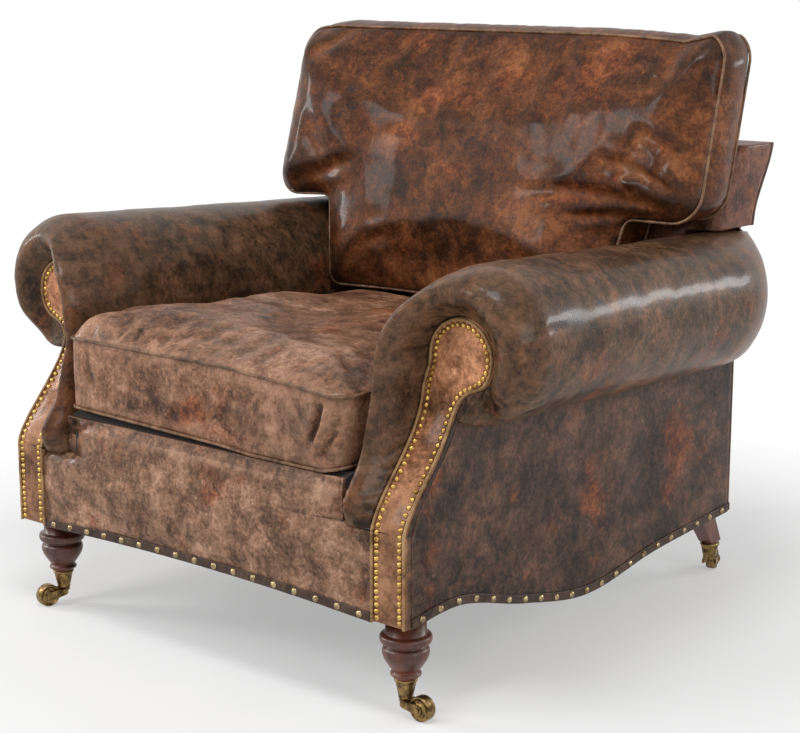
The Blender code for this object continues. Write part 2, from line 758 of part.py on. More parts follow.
def make_bands():
    for side, word in ((1, "left"), (-1, "right")):
        ends = (FRONT_Y + FACING_THICKNESS + 2 * GAP, REAR_Y - OUTSIDE_BACK_THICKNESS - GAP)
        edge = [Vector((side * BODY_HALF_WIDTH, y, side_edge_z(y))) for y in spread(*ends, SIDE_STEPS)]
        make_band(f"bottom_band_{word}", edge, Vector((side, 0, 0)))
    half = FACING_INNER_X - GAP
    front = [Vector((x, FRONT_Y, front_edge_z(x))) for x in spread(-half, half, 10)]
    make_band("bottom_band_front", front, Vector((0, -1, 0)))
    rear = [Vector((x, REAR_Y, REAR_EDGE_Z)) for x in spread(-BODY_HALF_WIDTH, BODY_HALF_WIDTH, 1)]
    make_band("bottom_band_rear", rear, Vector((0, 1, 0)))


def make_front_border():
    """Padded panel over the front rail, wide below the arms' puffs and narrow between the arms."""
    wide, narrow = FACING_INNER_X - GAP, ARM_INNER_X - SIDE_CLEARANCE
    top = DECK_TOP_Z - BORDER_DROP
    band_top = FRONT_EDGE_Z + FRONT_EDGE_ARCH + BAND_HEIGHT
    rows = [(z, wide) for z in [FRONT_EDGE_Z] + spread(band_top, ARM_FOOT_Z - 3 * GAP, 3)]
    rows += [(z, narrow) for z in (ARM_FOOT_Z - GAP, between(ARM_FOOT_Z, top, 0.7), top)]
    back_y = FRONT_Y + BORDER_THICKNESS
    front, back = [], []
    for level, half in rows:
        xs = spread(-half, half, 10)
        rise = math.sin(math.pi * (level - band_top) / (top - band_top)) if level > band_top else 0.0
        drop = BORDER_CROWN if level == top else 0.0
        zs = [front_edge_z(x) if level == FRONT_EDGE_Z else level for x in xs]
        crowns = [BORDER_CROWN * max(rise, 0.0) * (1 - (x / half) ** 8) for x in xs]
        front.append([Vector((x, FRONT_Y - crown + drop, z)) for x, z, crown in zip(xs, zs, crowns)])
        back.append([Vector((x, back_y, z)) for x, z in zip(xs, zs)])
    add_object("front_border", grid_solid(front, back), LEATHER, smooth_deg=60)


def make_frame():
    """Timber frame: sawn arm posts that follow the sweep, back posts that go on as rear legs, and rails."""
    for side, word in ((1, "left"), (-1, "right")):
        inner, outer = FACING_INNER_X + ARM_POST_INSET, OUTER_X - ARM_POST_INSET
        top = ARM_CAVITY_TOP_Z - GAP
        levels = [LEG_PROFILE[0][1] + GAP] + SWEEP_LEVELS[:-1] + [top]
        post = swept_prism(
            side * inner, side * outer, levels, arm_post_front, lambda z: arm_post_front(z) + ARM_POST_DEPTH
        )
        add_object(f"arm_post_{word}", post, BEECH)
        low = top - ARM_RAIL_HEIGHT
        rail = swept_prism(
            side * (POST_X - ARM_RAIL_WIDTH / 2),
            side * (POST_X + ARM_RAIL_WIDTH / 2),
            spread(low, top, 2),
            lambda z: arm_post_front(z) + ARM_POST_DEPTH + GAP,
            lambda z: post_front_y(z) - GAP,
        )
        add_object(f"arm_rail_{word}", rail, BEECH)
        make_side_rail(side, word)
        make_back_post(side, word)
        rail_inner = OUTER_X - GAP - SIDE_RAIL_THICKNESS
        front = arm_post_front(SEAT_RAIL_BOTTOM_Z) + ARM_POST_DEPTH + GAP
        near, far = sorted((side * (rail_inner - GAP), side * (rail_inner - GAP - BLOCK_SIDE)))
        block = box_solid((near, front, SEAT_RAIL_BOTTOM_Z), (far, front + BLOCK_SIDE, SIDE_RAIL_TOP_Z))
        add_object(f"corner_block_{word}", block, BEECH)
    half = FACING_INNER_X + ARM_POST_INSET - GAP
    y = FRONT_Y + BORDER_THICKNESS + GAP
    front = box_solid((-half, y, SEAT_RAIL_BOTTOM_Z), (half, y + RAIL_THICKNESS, SEAT_RAIL_TOP_Z))
    add_object("front_rail", front, BEECH)
    half = POST_X - POST_WIDTH / 2 - GAP
    rails = (
        ("rear_seat_rail", SEAT_RAIL_BOTTOM_Z, SEAT_RAIL_TOP_Z),
        ("back_stay_rail", *STAY_RAIL_Z),
        ("back_top_rail", BACK_TOP_Z - TOP_PAD - TOP_RAIL_HEIGHT, BACK_TOP_Z - TOP_PAD),
    )
    for name, low, high in rails:
        front_y = post_front_y((low + high) / 2) + RAIL_SET_BACK
        lean = BACK_LEAN * (high - low) / 2 if low > BACK_BEND_Z else 0.0
        edges = ((low, front_y - lean), (high, front_y + lean))
        front = [[Vector((x, y, z)) for x in (-half, half)] for z, y in edges]
        rear = [[p + Vector((0, RAIL_THICKNESS, 0)) for p in row] for row in front]
        add_object(name, grid_solid(front, rear), BEECH)


def make_side_rail(side, word):
    """A plank on edge whose lower edge carries the serpentine line."""
    start = arm_post_front(SEAT_RAIL_BOTTOM_Z) + ARM_POST_DEPTH + GAP
    end = REAR_Y - OUTSIDE_BACK_THICKNESS - 2 * GAP
    outer, inner = OUTER_X - GAP, OUTER_X - GAP - SIDE_RAIL_THICKNESS
    ys = spread(start, end, 12)
    faces = [
        [[Vector((side * x, y, z)) for z in (side_edge_z(y) + 0.002, SIDE_RAIL_TOP_Z)] for y in ys]
        for x in (outer, inner)
    ]
    add_object(f"side_rail_{word}", grid_solid(*faces), BEECH)


def eight_points(centre_x, centre_y, half_x, half_y, z, round_share):
    """A ring of eight points, from a rectangle (0) to an ellipse (1)."""
    ring = []
    for j in range(8):
        a = math.pi / 4 * j
        c, s = math.cos(a), math.sin(a)
        reach = between(1 / max(abs(c), abs(s)), 1.0, round_share)
        ring.append(Vector((centre_x + half_x * c * reach, centre_y + half_y * s * reach, z)))
    return ring


def make_back_post(side, word):
    """Sawn post: back upright, seat stretch, raked leg below it and a round end in the castor's cup."""
    half, depth = POST_WIDTH / 2, POST_DEPTH / 2
    low, high = CUP_BOTTOM_RADIUS - CUP_WALL - 2 * GAP, CUP_TOP_RADIUS - CUP_WALL - 3 * GAP
    end_z = CUP_BOTTOM_Z + CUP_FLOOR + LEG_END_SPACE
    foot = (REAR_LEG_X, REAR_LEG_Y)
    rings = [
        eight_points(*foot, low, low, end_z, 1.0),
        eight_points(*foot, high, high, CUP_TOP_Z + GAP, 1.0),
        eight_points(*foot, REAR_LEG_WIDTH / 2, REAR_LEG_DEPTH / 2, CUP_TOP_Z + LEG_SHOULDER, 0.0),
    ]
    for z in (LEG_BEND_Z, BACK_BEND_Z, BACK_TOP_Z - TOP_PAD):
        rings.append(eight_points(POST_X, post_rear_y(z) - depth, half, depth, z, 0.0))
    mirrored = [[Vector((side * p.x, p.y, p.z)) for p in ring] for ring in rings]
    add_object(f"back_post_{word}", ring_solid(mirrored), MAHOGANY)


def make_front_legs():
    """Turned leg: collar, bulb, ring and a tapered end that the castor's cup holds."""
    tail = [
        (CUP_TOP_RADIUS - CUP_WALL - 3 * GAP, CUP_TOP_Z + GAP),
        (CUP_BOTTOM_RADIUS - CUP_WALL - 2 * GAP, CUP_BOTTOM_Z + CUP_FLOOR + LEG_END_SPACE),
    ]
    for side, word in ((1, "left"), (-1, "right")):
        turning = turned_solid(list(LEG_PROFILE) + tail, LEG_SEGMENTS)
        leg = add_object(f"front_leg_{word}", turning, MAHOGANY, smooth_deg=40)
        leg.location = (side * FRONT_LEG_X, FRONT_LEG_Y, 0)


def back_half_width(z):
    """Half width of the back's upholstery: between the arms, over their shoulders, then over the arms."""
    centre_x, centre_z = roll_centre(inside_back_y(z))
    top = centre_z + ROLL_RADIUS
    if z >= top:
        return BACK_HALF_WIDTH
    if z <= SHOULDER_Z:
        return ARM_INNER_X - SIDE_CLEARANCE
    share = math.sqrt(1 - ((z - SHOULDER_Z) / (top - SHOULDER_Z)) ** 2)
    return centre_x - (centre_x - ARM_INNER_X) * share - SIDE_CLEARANCE


def make_back():
    """Padded inside back, wrapped over the frame's top and sides, and the panel that closes it behind."""
    roll_top = ROLL_REAR_Z + ROLL_RADIUS + ROLL_TOP_SPACE
    shoulder = spread(SHOULDER_Z, roll_top - ROLL_TOP_STEP, 6)
    middle_z = (roll_top + BACK_TOP_Z) / 2
    levels = [DECK_TOP_Z + 3 * GAP] + shoulder + [roll_top, middle_z, BACK_TOP_Z - BACK_SIDE_EDGE, BACK_TOP_Z]
    front, back = [], []
    for z in levels:
        half = BACK_HALF_WIDTH if z >= roll_top else min(back_half_width(z), POST_X)
        draw = BACK_TOP_EASE if z == BACK_TOP_Z else 0.0
        edge = BACK_SIDE_EDGE
        xs = [-half, -half + edge] + spread(-half + edge, half - edge, 6)[1:-1] + [half - edge, half]
        depths = [BACK_TOP_EASE if abs(x) == half else 0.0 for x in xs]
        front.append([Vector((x, inside_back_y(z) + d + draw, z)) for x, d in zip(xs, depths)])
        back.append([Vector((x, post_rear_y(z), z)) for x in xs])
    inside = add_object("inside_back", grid_solid(front, back), LEATHER, smooth_deg=50)
    half = POST_X + POST_WIDTH / 2 + GAP
    pocket = swept_prism(
        -half,
        half,
        [DECK_TOP_Z - CUT_PAST, BACK_BEND_Z, BACK_TOP_Z - TOP_PAD + GAP],
        lambda z: post_front_y(z) - GAP,
        lambda z: outside_back_y(z) + CUT_PAST,
    )
    boolean(inside, cutter("frame_pocket", pocket), "DIFFERENCE")
    levels = [REAR_EDGE_Z, BACK_BEND_Z, roll_top - ROLL_TOP_STEP, roll_top, middle_z, BACK_TOP_Z]
    front, back = [], []
    for z in levels:
        half = BACK_HALF_WIDTH if z >= roll_top else BODY_HALF_WIDTH
        xs = spread(-half, half, 4)
        front.append([Vector((x, outside_back_y(z), z)) for x in xs])
        back.append([Vector((x, outside_back_y(z) - OUTSIDE_BACK_THICKNESS, z)) for x in xs])
    add_object("outside_back", grid_solid(front, back), LEATHER)


def make_seat():
    """Serpentine springs between the rails, the padded deck on them, and the dust cover below."""
    half = ARM_INNER_X - SIDE_CLEARANCE
    front_y = FRONT_Y + BORDER_THICKNESS + GAP
    profile = [
        (front_y, SEAT_RAIL_TOP_Z + GAP),
        (front_y + DECK_LIP, SEAT_RAIL_TOP_Z + GAP),
        (front_y + DECK_LIP, DECK_BOTTOM_Z),
        (DECK_REAR_Y, DECK_BOTTOM_Z),
        (DECK_REAR_Y, DECK_TOP_Z),
        (front_y + 2 * DECK_EASE, DECK_TOP_Z),
        (front_y, DECK_TOP_Z - DECK_EASE),
    ]
    rings = [[Vector((x, y, z)) for y, z in profile] for x in (-half, half)]
    add_object("seat_deck", ring_solid(rings), CLOTH)
    start = front_y + RAIL_THICKNESS
    end = post_front_y(SEAT_RAIL_TOP_Z) + RAIL_SET_BACK + RAIL_THICKNESS / 2
    rest = SEAT_RAIL_TOP_Z + GAP + SPRING_WIRE_RADIUS
    crest = DECK_BOTTOM_Z - GAP - SPRING_WIRE_RADIUS
    turns = round((end - start) / SPRING_PITCH)
    for k in range(SPRING_COUNT):
        centre = (k - (SPRING_COUNT - 1) / 2) * SPRING_SPACING
        points = [Vector((centre, front_y + DECK_LIP + 2 * SPRING_WIRE_RADIUS, rest))]
        for i in range(turns * 2 + 1):
            t = i / (turns * 2)
            swing = (1 if i % 2 else -1) * SPRING_WIDTH / 2
            drop = (crest - rest) * smoothstep(min(t, 1 - t) / 0.14)
            points.append(Vector((centre + swing, between(start, end, t), rest + drop)))
        wire = tube_solid(points, SPRING_WIRE_RADIUS, 4, Vector((0, 0, 1)))
        add_object(f"seat_spring_{k + 1}", wire, STEEL)
    narrow = FACING_INNER_X
    wide = OUTER_X - 2 * GAP - SIDE_RAIL_THICKNESS
    notch_y = arm_post_front(SEAT_RAIL_BOTTOM_Z) + ARM_POST_DEPTH + GAP
    far_notch_y = post_front_y(SEAT_RAIL_BOTTOM_Z) - GAP
    half_outline = [(narrow, front_y), (narrow, notch_y), (wide, notch_y)]
    half_outline += [(wide, far_notch_y), (narrow, far_notch_y), (narrow, post_rear_y(SEAT_RAIL_BOTTOM_Z))]
    outline = half_outline + [(-x, y) for x, y in reversed(half_outline)]
    top = SEAT_RAIL_BOTTOM_Z - GAP
    rings = [[Vector((x, y, z)) for x, y in outline] for z in (top - DUST_COVER_THICKNESS, top)]
    add_object("dust_cover", ring_solid(rings), CLOTH)


def rounded_outline(corners, steps):
    """Points round an outline of (x, y, corner radius), with an arc at each corner."""
    points = []
    count = len(corners)
    for i, (x, y, radius) in enumerate(corners):
        here = Vector((x, y))
        before = Vector(corners[i - 1][:2]) - here
        after = Vector(corners[(i + 1) % count][:2]) - here
        angle = before.angle(after)
        reach = radius / math.tan(angle / 2)
        start, end = here + before.normalized() * reach, here + after.normalized() * reach
        inward = (before.normalized() + after.normalized()).normalized()
        middle = here + inward * (radius / math.sin(angle / 2))
        first = math.atan2(*(start - middle).yx)
        turn = (math.atan2(*(end - middle).yx) - first + math.pi) % (2 * math.pi) - math.pi
        for k in range(steps + 1):
            a = first + turn * k / steps
            points.append(middle + Vector((math.cos(a), math.sin(a))) * radius)
    return points


def divided(points, longest):
    """The outline with extra points on its long stretches."""
    found = []
    for a, b in zip(points, points[1:] + points[:1]):
        parts = max(math.ceil((b - a).length / longest), 1)
        found += [a + (b - a) * (k / parts) for k in range(parts)]
    return found


def outline_normals(points):
    normals = []
    for before, after in zip(points[-1:] + points[:-1], points[1:] + points[:1]):
        along = (after - before).normalized()
        normals.append(Vector((along.y, -along.x)))
    return normals


def cushion_rings(outline, centre, place, levels):
    """Rings of a boxed cushion. A level is (share of the outline, outward, height through the cushion)."""
    normals = outline_normals(outline)
    return [
        [place(centre + (p + n * out - centre) * share, height) for p, n in zip(outline, normals)]
        for share, out, height in levels
    ]


def boxed_levels(low, high, low_crown, high_crown):
    """Levels from one face's middle, over its welt, the boxing and the other welt, to the other face."""
    thick = high - low
    return [
        (0.42, 0.0, low - low_crown),
        (0.80, 0.0, low - 0.55 * low_crown),
        (1.0, -CUSHION_WELT, low),
        (1.0, CUSHION_WELT, low + CUSHION_WELT),
        (1.0, 0.0, low + 3 * CUSHION_WELT),
        (1.0, BOXING_BULGE, low + thick / 2),
        (1.0, 0.0, high - 3 * CUSHION_WELT),
        (1.0, CUSHION_WELT, high - CUSHION_WELT),
        (1.0, -CUSHION_WELT, high),
        (0.80, 0.0, high + 0.55 * high_crown),
        (0.42, 0.0, high + high_crown),
    ]


def make_cushions():
    """Loose cushions: a boxed seat cushion and a boxed T-shaped back cushion, piped along their seams."""
    inset = BOXING_BULGE
    corners = [
        (-SEAT_HALF_WIDTH + inset, SEAT_FRONT_Y, SEAT_CORNER),
        (SEAT_HALF_WIDTH - inset, SEAT_FRONT_Y, SEAT_CORNER),
        (SEAT_HALF_WIDTH - inset, SEAT_REAR_Y, SEAT_CORNER),
        (-SEAT_HALF_WIDTH + inset, SEAT_REAR_Y, SEAT_CORNER),
    ]
    outline = divided(rounded_outline(corners, 3), 0.09)
    centre = Vector((0.0, (SEAT_FRONT_Y + SEAT_REAR_Y) / 2))
    low_crown = SEAT_LOW_WELT_Z - DECK_TOP_Z - GAP
    rings = cushion_rings(
        outline,
        centre,
        lambda p, height: Vector((p.x, p.y, height)),
        boxed_levels(SEAT_LOW_WELT_Z, SEAT_HIGH_WELT_Z, low_crown, SEAT_CROWN),
    )
    add_object("seat_cushion", ring_solid(rings), LEATHER, smooth_deg=50)
    neck, ear = CUSHION_NECK_HALF, CUSHION_EAR_HALF
    corners = [
        (-neck, CUSHION_FOOT_Z, 0.03),
        (neck, CUSHION_FOOT_Z, 0.03),
        (neck, CUSHION_EAR_Z, 0.018),
        (ear, CUSHION_EAR_Z, CUSHION_EAR_CORNER),
        (ear, CUSHION_TOP_Z, CUSHION_TOP_CORNER),
        (-ear, CUSHION_TOP_Z, CUSHION_TOP_CORNER),
        (-ear, CUSHION_EAR_Z, CUSHION_EAR_CORNER),
        (-neck, CUSHION_EAR_Z, 0.018),
    ]
    outline = divided(rounded_outline(corners, 3), 0.11)
    rings = cushion_rings(
        outline,
        Vector((0.0, between(CUSHION_EAR_Z, CUSHION_TOP_Z, 0.35))),
        lambda p, depth: Vector((p.x, cushion_y(p.y) + depth, p.y)),
        boxed_levels(0.0, CUSHION_THICKNESS, CUSHION_FRONT_CROWN, CUSHION_REAR_CROWN),
    )
    add_object("back_cushion", ring_solid(rings), LEATHER, smooth_deg=50)


def leg_place(side, end):
    if end == "front":
        return side * FRONT_LEG_X, FRONT_LEG_Y
    return side * REAR_LEG_X, REAR_LEG_Y


def cup_solid():
    """Tapered brass cup, open above for the leg, with a hole in its floor for the pintle."""
    hole = PINTLE_RADIUS + PIN_CLEARANCE
    profile = (
        (hole, CUP_BOTTOM_Z),
        (CUP_BOTTOM_RADIUS, CUP_BOTTOM_Z),
        (CUP_TOP_RADIUS - 0.0014, CUP_TOP_Z - 0.004),
        (CUP_TOP_RADIUS, CUP_TOP_Z - 0.002),
        (CUP_TOP_RADIUS, CUP_TOP_Z),
        (CUP_TOP_RADIUS - CUP_WALL, CUP_TOP_Z),
        (CUP_BOTTOM_RADIUS - CUP_WALL, CUP_BOTTOM_Z + CUP_FLOOR),
        (hole, CUP_BOTTOM_Z + CUP_FLOOR),
    )
    return turned_shell(profile, 12)


def horn_outline():
    """Side view of a fork arm, from the swivel plate to the round end that holds the axle."""
    top = CUP_BOTTOM_Z - GAP
    root = (0.0035, top - FORK_ROOT_RADIUS)
    end = (WHEEL_TRAIL, WHEEL_RADIUS)
    lean = math.atan2(end[1] - root[1], end[0] - root[0])
    spare = math.acos((FORK_ROOT_RADIUS - FORK_END_RADIUS) / math.hypot(end[0] - root[0], end[1] - root[1]))
    points = []
    for k in range(5):
        a = lean + spare + (2 * math.pi - 2 * spare) * k / 4
        points.append((root[0] + FORK_ROOT_RADIUS * math.cos(a), root[1] + FORK_ROOT_RADIUS * math.sin(a)))
    for k in range(7):
        a = lean - spare + 2 * spare * k / 6
        points.append((end[0] + FORK_END_RADIUS * math.cos(a), end[1] + FORK_END_RADIUS * math.sin(a)))
    return points


def make_castor(name, side, end, trail_deg):
    """Cup on the leg, a horn that swivels under it on a pintle, and a wheel on an axle between its arms."""
    x, y = leg_place(side, end)
    cup = add_object(f"castor_cup_{name}", cup_solid(), BRASS, smooth_deg=40)
    cup.location = (x, y, 0)
    swivel = bpy.data.objects.new(f"castor_swivel_{name}", None)
    swivel.parent = chair
    swivel.location = (x, y, 0)
    swivel.rotation_euler = (0, 0, math.radians(trail_deg))
    bpy.context.scene.collection.objects.link(swivel)
    top = CUP_BOTTOM_Z - GAP
    inner = WHEEL_WIDTH / 2 + FORK_CLEARANCE
    outer = inner + FORK_THICKNESS
    outline = horn_outline()
    sides = [[Vector((px, py, pz)) for px, pz in outline] for py in (-outer, outer)]
    horn = add_object(f"castor_horn_{name}", ring_solid(sides), BRASS, swivel)
    near = HORN_PLATE_RADIUS - HORN_WEB
    slot = box_solid((near, -inner, -CUT_PAST), (WHEEL_TRAIL + 2 * CUT_PAST, inner, top + CUT_PAST))
    slot_cutter = cutter(f"horn_slot_{name}", slot)
    lower = box_solid((-CUT_PAST, -inner, -CUT_PAST), (near + HORN_WEB, inner, top - HORN_PLATE_THICKNESS))
    lower_cutter = cutter(f"horn_throat_{name}", lower)
    bore = turned_solid(((AXLE_RADIUS, -outer - CUT_PAST), (AXLE_RADIUS, outer + CUT_PAST)), 8)
    bmesh.ops.transform(
        bore,
        matrix=Matrix.Translation((WHEEL_TRAIL, 0, WHEEL_RADIUS)) @ Matrix.Rotation(math.pi / 2, 4, "X"),
        verts=bore.verts,
    )
    bore_cutter = cutter(f"horn_bore_{name}", bore)
    stem = turned_solid(
        (
            (HORN_PLATE_RADIUS, top - HORN_PLATE_THICKNESS + 0.0002),
            (HORN_PLATE_RADIUS, top - 0.0001),
            (PINTLE_RADIUS, top - 0.0001),
            (PINTLE_RADIUS, CUP_BOTTOM_Z + CUP_FLOOR + LEG_END_SPACE / 2),
        ),
        12,
    )
    stem_adder = cutter(f"horn_stem_{name}", stem)
    for helper in (slot_cutter, lower_cutter, bore_cutter, stem_adder):
        helper.parent = swivel
    boolean(horn, slot_cutter, "DIFFERENCE")
    boolean(horn, lower_cutter, "DIFFERENCE")
    boolean(horn, stem_adder, "UNION")
    boolean(horn, bore_cutter, "DIFFERENCE")
    reach, head = outer + GAP, outer + GAP + AXLE_HEAD_LENGTH
    shank = AXLE_RADIUS - GAP
    axle = add_object(
        f"castor_axle_{name}",
        turned_solid(
            (
                (AXLE_HEAD_RADIUS, -head),
                (AXLE_HEAD_RADIUS, -reach),
                (shank, -reach),
                (shank, reach),
                (AXLE_HEAD_RADIUS, reach),
                (AXLE_HEAD_RADIUS, head),
            ),
            8,
        ),
        BRASS,
        swivel,
        smooth_deg=40,
    )
    axle.location = (WHEEL_TRAIL, 0, WHEEL_RADIUS)
    axle.rotation_euler = (math.pi / 2, 0, 0)
    half = WHEEL_WIDTH / 2
    bore_radius = AXLE_RADIUS + PIN_CLEARANCE
    tread = WHEEL_RADIUS / math.cos(math.pi / WHEEL_SIDES)
    profile = (
        (bore_radius, -half),
        (tread - WHEEL_SHOULDER, -half),
        (tread, WHEEL_SHOULDER - half),
        (tread, half - WHEEL_SHOULDER),
        (tread - WHEEL_SHOULDER, half),
        (bore_radius, half),
    )
    wheel = add_object(
        f"castor_wheel_{name}",
        turned_shell(profile, WHEEL_SIDES, math.pi / 2 + math.pi / WHEEL_SIDES),
        BRASS,
        swivel,
        smooth_deg=40,
    )
    wheel.location = (WHEEL_TRAIL, 0, WHEEL_RADIUS)
    wheel.rotation_euler = (math.pi / 2, 0, 0)


def stand_on_floor_centre():
    """Moves the whole chair in depth so that its box is centred on the origin."""
    bpy.context.view_layer.update()
    graph = bpy.context.evaluated_depsgraph_get()
    depths = []
    for piece in bpy.data.objects:
        if piece.type != "MESH" or piece.hide_render:
            continue
        evaluated = piece.evaluated_get(graph)
        depths += [(evaluated.matrix_world @ Vector(corner)).y for corner in evaluated.bound_box]
    chair.location.y -= (min(depths) + max(depths)) / 2


make_frame()
make_seat()
make_arms()
make_facings()
make_side_panels()
make_front_border()
make_back()
make_bands()
make_cushions()
make_front_legs()
for castor in CASTORS:
    make_castor(*castor)
stand_on_floor_centre()
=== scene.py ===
import json
import math
import random

import bmesh
import bpy
import numpy as np
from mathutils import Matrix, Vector, noise


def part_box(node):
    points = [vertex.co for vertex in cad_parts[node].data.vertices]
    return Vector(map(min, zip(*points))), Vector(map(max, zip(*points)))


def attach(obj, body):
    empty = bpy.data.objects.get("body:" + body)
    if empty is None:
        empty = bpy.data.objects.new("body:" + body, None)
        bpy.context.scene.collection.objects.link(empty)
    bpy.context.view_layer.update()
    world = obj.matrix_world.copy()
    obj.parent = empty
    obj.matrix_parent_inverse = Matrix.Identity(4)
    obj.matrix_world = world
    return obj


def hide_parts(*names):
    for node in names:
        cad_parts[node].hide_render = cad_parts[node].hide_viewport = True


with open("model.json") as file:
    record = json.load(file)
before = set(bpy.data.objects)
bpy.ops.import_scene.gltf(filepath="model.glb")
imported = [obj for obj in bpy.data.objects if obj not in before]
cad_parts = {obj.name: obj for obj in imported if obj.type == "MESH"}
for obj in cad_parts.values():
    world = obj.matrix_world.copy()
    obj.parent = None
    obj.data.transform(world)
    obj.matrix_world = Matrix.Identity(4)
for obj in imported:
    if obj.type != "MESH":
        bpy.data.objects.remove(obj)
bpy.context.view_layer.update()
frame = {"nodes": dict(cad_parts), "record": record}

# Timber frame
# Beech posts and rails, sawn to shape, glued and screwed, with the rear legs in one piece with the back
# posts. All but the rear legs is inside the upholstery. The pieces stay as modelled and get their wood.


def linear(code):
    """A colour written as an sRGB hex code, as linear red, green, blue and alpha."""
    values = [int(code[i : i + 2], 16) / 255 for i in (1, 3, 5)]
    return [v / 12.92 if v <= 0.04045 else ((v + 0.055) / 1.055) ** 2.4 for v in values] + [1.0]


def node(tree, kind, settings=None, links=None):
    """Adds a shader node. settings holds properties and unlinked inputs, links the sockets that feed it."""
    made = tree.nodes.new("ShaderNode" + kind)
    for key, value in (settings or {}).items():
        if isinstance(key, str) and hasattr(made, key):
            setattr(made, key, value)
        else:
            made.inputs[key].default_value = value
    for key, socket in (links or {}).items():
        tree.links.new(socket, made.inputs[key])
    return made


def new_finish(name, **constants):
    """A material with its shader, and the constants set on the shader's own sockets."""
    made = bpy.data.materials.new(name)
    made.use_nodes = True
    shader = made.node_tree.nodes["Principled BSDF"]
    for key, value in constants.items():
        shader.inputs[key.replace("_", " ")].default_value = value
    return made, made.node_tree, shader


def ramp(tree, factor, stops):
    """A colour ramp through (position, hex colour) stops."""
    made = node(tree, "ValToRGB", links={0: factor})
    elements = made.color_ramp.elements
    while len(elements) < len(stops):
        elements.new(1.0)
    for element, (position, code) in zip(elements, stops):
        element.position = position
        element.color = linear(code)
    return made.outputs[0]


def object_place(tree):
    return node(tree, "TexCoord").outputs["Object"]


def noise_at(tree, place, mm, detail, roughness=0.5, **more):
    """Noise whose features are about this many millimetres across."""
    settings = {"Scale": 1000 / mm, "Detail": detail, "Roughness": roughness, **more}
    return node(tree, "TexNoise", settings, {"Vector": place})


def remap(tree, value, before, after=(0.0, 1.0)):
    """A value with its range stretched or turned round to another range, and held inside it."""
    settings = {"From Min": before[0], "From Max": before[1], "To Min": after[0], "To Max": after[1]}
    return node(tree, "MapRange", settings, {"Value": value}).outputs[0]


def tinted(tree, under, code, share):
    """A colour with a share of another one, a hex code, over it."""
    settings = {"data_type": "RGBA", 7: linear(code)}
    return node(tree, "Mix", settings, {"Factor": share, 6: under}).outputs[2]


def bumped(tree, height, strength, distance, under=None):
    links = {"Height": height, "Normal": under} if under else {"Height": height}
    return node(tree, "Bump", {"Strength": strength, "Distance": distance}, links).outputs[0]


def feed(tree, shader, **sockets):
    """Links each socket to the shader's input of that name."""
    for key, socket in sockets.items():
        tree.links.new(socket, shader.inputs[key.replace("_", " ")])


def sawn_wood(name, stops, grain_mm, roughness, coat):
    """Wood seen along its grain: fine long fibres, and wider bands where the growth rings are cut."""
    made, tree, shader = new_finish(name, Coat_Weight=coat, Coat_Roughness=0.18)
    grain = node(tree, "Mapping", {"Scale": (1.0, 1.0, 0.09)}, {"Vector": object_place(tree)}).outputs[0]
    fibres = noise_at(tree, grain, grain_mm, 5.0, 0.6).outputs[0]
    rings = noise_at(tree, grain, 26, 3.0, Distortion=0.6).outputs[0]
    fine = node(tree, "Math", {"operation": "MULTIPLY", 1: 0.45}, {0: fibres}).outputs[0]
    both = node(tree, "Math", {"operation": "MULTIPLY_ADD", 1: 0.55}, {0: rings, 2: fine}).outputs[0]
    feed(
        tree,
        shader,
        Base_Color=ramp(tree, both, stops),
        Roughness=remap(tree, fibres, (0.0, 1.0), (roughness, roughness + 0.16)),
        Normal=bumped(tree, fibres, 0.25, 0.0004),
    )
    return made


def refinish(starts, material):
    """Gives the nodes whose names start like this their material. They stay as modelled."""
    for name, part in frame["nodes"].items():
        if name.startswith(starts):
            part.data.materials.clear()
            part.data.materials.append(material)


# Beech is pale pinkish tan with short fine fibres, left off the saw.
BEECH = sawn_wood("sawn_beech", [(0.36, "#8f6a45"), (0.5, "#b38a5f"), (0.64, "#c9a377")], 1.6, 0.55, 0.0)
# Mahogany-stained beech is a deep red brown, nearly black in its turned grooves, under a thin polish.
MAHOGANY = sawn_wood(
    "mahogany_stained_beech", [(0.34, "#241008"), (0.5, "#542818"), (0.68, "#783e28")], 1.4, 0.30, 0.12
)
refinish(("arm_post", "arm_rail", "side_rail", "corner_block", "front_rail"), BEECH)
refinish(("rear_seat_rail", "back_stay_rail", "back_top_rail"), BEECH)
refinish("back_post", MAHOGANY)

# Seat suspension
# Serpentine springs of drawn steel wire between the rails, a padded deck of dark platform cloth on
# them, and a thin black cloth stapled under the rails against dust. They stay as modelled.
WIRE, wire_tree, wire_shader = new_finish("drawn_spring_steel", Metallic=1.0)
wire_lines = noise_at(wire_tree, object_place(wire_tree), 3, 3.0).outputs[0]
feed(
    wire_tree,
    wire_shader,
    Base_Color=ramp(wire_tree, wire_lines, [(0.35, "#4d4f52"), (0.7, "#83878b")]),
    Roughness=remap(wire_tree, wire_lines, (0.0, 1.0), (0.28, 0.5)),
)


def woven_cloth(name, dark, light, thread_mm):
    """Plain weave: threads over and under each other, with the odd thicker thread."""
    made, tree, shader = new_finish(name, Roughness=0.92, Sheen_Weight=0.25)
    place = object_place(tree)
    threads = {
        "Scale": 1000 / (thread_mm * 4), "Mortar Size": 0.012, "Brick Width": 0.25, "Row Height": 0.125
    }
    colours = {"Color1": linear(dark), "Color2": linear(light), "Mortar": linear("#0c0b0a")}
    weave = node(tree, "TexBrick", {**threads, **colours}, {"Vector": place})
    slubs = noise_at(tree, place, 14, 4.0).outputs[1]
    settings = {"data_type": "RGBA", "blend_type": "MULTIPLY", "Factor": 0.5}
    mixed = node(tree, "Mix", settings, {6: weave.outputs[0], 7: slubs})
    feed(tree, shader, Base_Color=mixed.outputs[2], Normal=bumped(tree, weave.outputs[1], 0.4, 0.0004))
    return made


